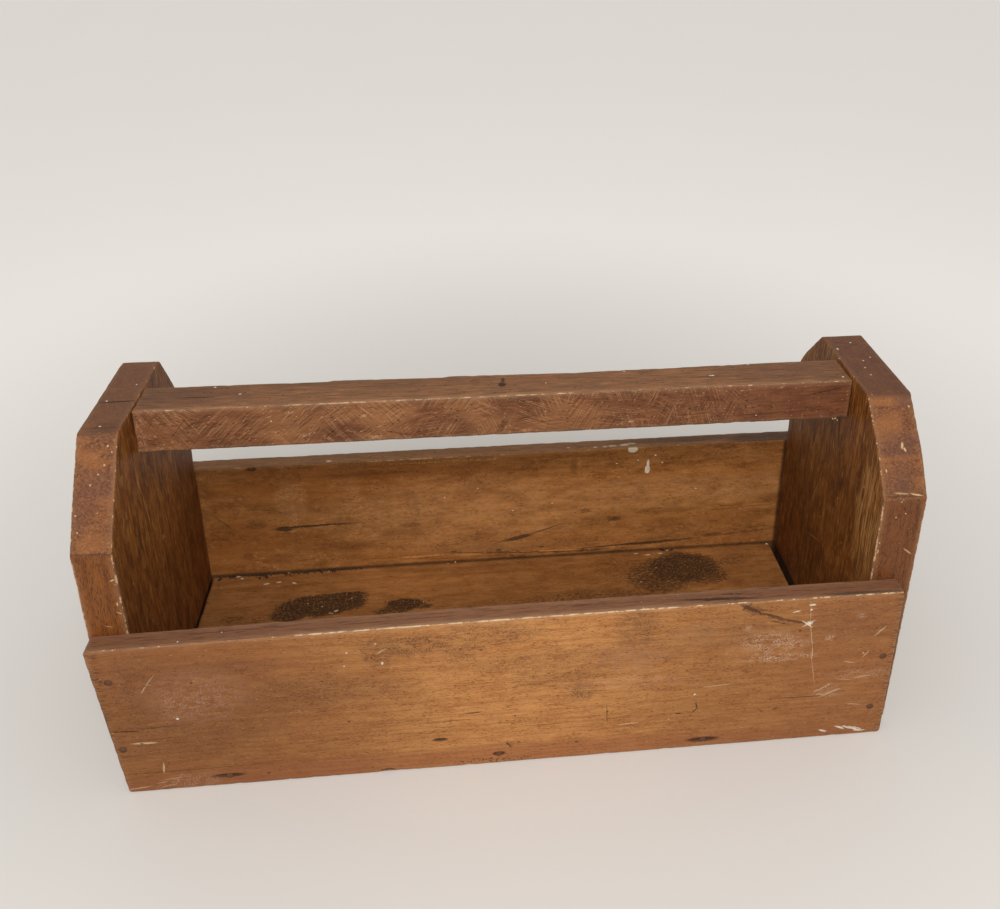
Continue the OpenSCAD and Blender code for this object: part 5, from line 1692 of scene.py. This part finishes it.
# Loose bits: place across and back on the bottom board, and size.
DARK_CRUMBS = [
    (-292, 116, (7.5, 2.2, 1.6)), (-288, 113, (2.6, 3.8, 1.6)), (-296, 112, (3.4, 1.8, 1.3)),
    (-240, 117, (8, 1.6, 1.4)), (-224, 117.5, (7, 1.5, 1.2)), (-208, 118, (6, 1.4, 1.3)), (-330, 117, (5, 1.6, 1.2)),
    (-343, 114, (3, 2.6, 1.4)), (-302, 117.5, (6, 1.4, 1.1)), (200, 117.5, (5, 1.8, 1.6)), (212, 117, (4, 1.6, 1.5)),
]
# The same, with the seed of their shape.
PALE_CHIPS = [
    (-321, 116, (5.0, 1.5, 1.5), 4.0), (-317, 113.5, (3.0, 1.2, 1.0), 2.5), (-198, 51, (4.6, 1.6, 1.1), 0.3),
    (-202, 48, (2.4, 1.0, 0.9), 1.0), (-60, 118.5, (2.0, 1.4, 1.5), 2.0), (-214, 116.5, (1.6, 1.1, 1.0), 1.0),
    (206, 116, (3.0, 1.1, 1.2), 3.0), (-262, 118, (1.4, 1.0, 0.9), 5.0), (-338, 100, (1.2, 0.9, 0.7), 1.0),
    (-69, 117, (1.3, 1.2, 1.1), 1.4), (335, 116, (3.2, 2.4, 2.0), 1.0),
]
# Bits under the front of the bar: place across, how far below it, and size.
SPLINTERS = [
    (331, 2.4, (1.5, 1.1, 2.6)), (334, 1.5, (2.2, 1.0, 1.4)), (336, 3.6, (0.9, 0.7, 1.5)),
]


class TOOL_CADDY_OT_grit(bpy.types.Operator):
    """Scatter the grit and pale chips that lie in the joints on the bottom board"""

    bl_idname = "tool_caddy.grit"
    bl_label = "Grit and Chips"

    def execute(self, context):
        floor = box_mm("bottom_board")[1].z
        back = box_mm("back_board")[0].y
        bm = bmesh.new()
        count, start, length, stride = LEFT_GRIT
        for index in range(count):
            share = noise.noise(Vector((index * 1.71, 0.4, 0))) * 0.5 + 0.5
            drift = 9 * abs(noise.noise(Vector((index * 2.37, 3.1, 1))))
            x = start + length * ((index * stride) % 1.0)
            size = 0.5 + 1.1 * share
            add_crumb(bm, (x, back - GRIT_GAP - drift, floor), (size * 1.4, size, size * 0.6), index * 0.77 + 1)
        count, start, length, stride = RIGHT_GRIT
        for index in range(count):
            drift = 3 * abs(noise.noise(Vector((index, 4.1, 2))))
            x = start + length * ((index * stride) % 1.0)
            size = 0.4 + 0.7 * abs(noise.noise(Vector((index * 1.9, 8.1, 2))))
            add_crumb(bm, (x, back - GRIT_GAP - drift, floor), (size * 1.5, size, size * 0.6), index * 0.53 + 40)
        for x, y, size in DARK_CRUMBS:
            add_crumb(bm, (x, y, floor), size, x * 0.13)
        tidy(bm)
        grit = to_object(bm, "joint_grit")
        dirt = crumb_material("joint_dirt", tone(62, 42, 28), tone(34, 22, 14))
        finish_piece(grit, dirt, [], CRUMB_SHARP)
        bm = bmesh.new()
        for x, y, size, seed in PALE_CHIPS:
            add_crumb(bm, (x, y, floor), size, seed)
        bar = box_mm("handle")[0]
        for x, below, size in SPLINTERS:
            add_crumb(bm, (x, bar.y + 1.2, bar.z - below), size, x * 0.31)
        tidy(bm)
        chips = to_object(bm, "pale_chips")
        bare = crumb_material("chip_wood", tone(214, 190, 160), tone(178, 146, 112))
        finish_piece(chips, bare, [], CRUMB_SHARP)
        return {"FINISHED"}


FLOOR_SIZE, FLOOR_DROP = 14, 0.0002
LAMP_SIZE, LAMP_PLACE, LAMP_TARGET = 0.9, (-0.05, -1.5, 1.7), (0.0, 0.0, 0.12)
SENSOR_WIDTH, NEAREST, FARTHEST = 36, 0.02, 60


class TOOL_CADDY_OT_stage(bpy.types.Operator):
    """Lay the floor, light it and place the camera"""

    bl_idname = "tool_caddy.stage"
    bl_label = "Floor, Lamps and Camera"

    def execute(self, context):
        stage = context.scene.caddy_stage
        bm = bmesh.new()
        bmesh.ops.create_grid(bm, x_segments=1, y_segments=1, size=FLOOR_SIZE)
        mesh = bpy.data.meshes.new("floor")
        bm.to_mesh(mesh)
        bm.free()
        floor = bpy.data.objects.new("floor", mesh)
        floor.location.z = -FLOOR_DROP
        context.scene.collection.objects.link(floor)
        mesh.materials.append(floor_paint(tuple(stage.floor_colour), tuple(stage.seen_floor_colour)))

        world = bpy.data.worlds.new("room")
        world.use_nodes = True
        sky = Graph(world.node_tree)
        background = world.node_tree.nodes["Background"]
        background.inputs["Color"].default_value = opaque(stage.backdrop_colour)
        sky.feed(background.inputs["Strength"], sky.between(is_watched(sky), stage.world_strength, 1.0))
        context.scene.world = world

        lamp = bpy.data.lights.new("main_lamp", "AREA")
        lamp.shape = "DISK"
        lamp.size = LAMP_SIZE
        lamp.energy = stage.lamp_power
        lamp_object = bpy.data.objects.new("main_lamp", lamp)
        lamp_object.location = LAMP_PLACE
        aim = Vector(LAMP_TARGET) - lamp_object.location
        lamp_object.rotation_euler = aim.to_track_quat("-Z", "Y").to_euler()
        context.scene.collection.objects.link(lamp_object)

        camera = bpy.data.cameras.new("camera")
        camera.sensor_fit = "HORIZONTAL"
        camera.sensor_width = SENSOR_WIDTH
        camera.lens = stage.camera_lens
        camera.shift_x, camera.shift_y = stage.shift_right, stage.shift_up
        camera.clip_start, camera.clip_end = NEAREST, FARTHEST
        camera_object = bpy.data.objects.new("camera", camera)
        turn = (Matrix.Rotation(stage.camera_yaw, 3, "Z") @ Matrix.Rotation(stage.camera_pitch, 3, "X")
                @ Matrix.Rotation(stage.camera_roll, 3, "Y"))
        level = Matrix.Rotation(math.radians(90), 3, "X")
        camera_object.matrix_world = Matrix.Translation(stage.camera_place) @ (turn @ level).to_4x4()
        context.scene.collection.objects.link(camera_object)
        context.scene.camera = camera_object
        context.scene.view_settings.view_transform = "Standard"
        return {"FINISHED"}


STEPS = (
    TOOL_CADDY_OT_finishes,
    TOOL_CADDY_OT_end_boards,
    TOOL_CADDY_OT_front_board,
    TOOL_CADDY_OT_back_board,
    TOOL_CADDY_OT_bottom_board,
    TOOL_CADDY_OT_carrying_bar,
    TOOL_CADDY_OT_nails,
    TOOL_CADDY_OT_grit,
    TOOL_CADDY_OT_stage,
)


class TOOL_CADDY_PT_sidebar(bpy.types.Panel):
    """Lists the caddy's pieces and settings."""

    bl_idname = "TOOL_CADDY_PT_sidebar"
    bl_label = "Tool Caddy"
    bl_space_type = "VIEW_3D"
    bl_region_type = "UI"
    bl_category = "Tool Caddy"

    def draw(self, context):
        for step in STEPS:
            self.layout.operator(step.bl_idname)
        for group in GROUPS:
            box = self.layout.box()
            settings = getattr(context.scene, group)
            for name in GROUPS[group].__annotations__:
                box.prop(settings, name)


GROUPS = {"caddy_shape": CaddyShape, "caddy_wear": CaddyWear, "caddy_stage": CaddyStage}
CLASSES = (*GROUPS.values(), *STEPS, TOOL_CADDY_PT_sidebar)


def register():
    for cls in CLASSES:
        bpy.utils.register_class(cls)
    for name, group in GROUPS.items():
        setattr(bpy.types.Scene, name, bpy.props.PointerProperty(type=group))


def unregister():
    for name in GROUPS:
        delattr(bpy.types.Scene, name)
    for cls in reversed(CLASSES):
        bpy.utils.unregister_class(cls)


def main():
    register()
    for step in STEPS:
        module, name = step.bl_idname.split(".")
        getattr(getattr(bpy.ops, module), name)()


if __name__ == "__main__":
    main()
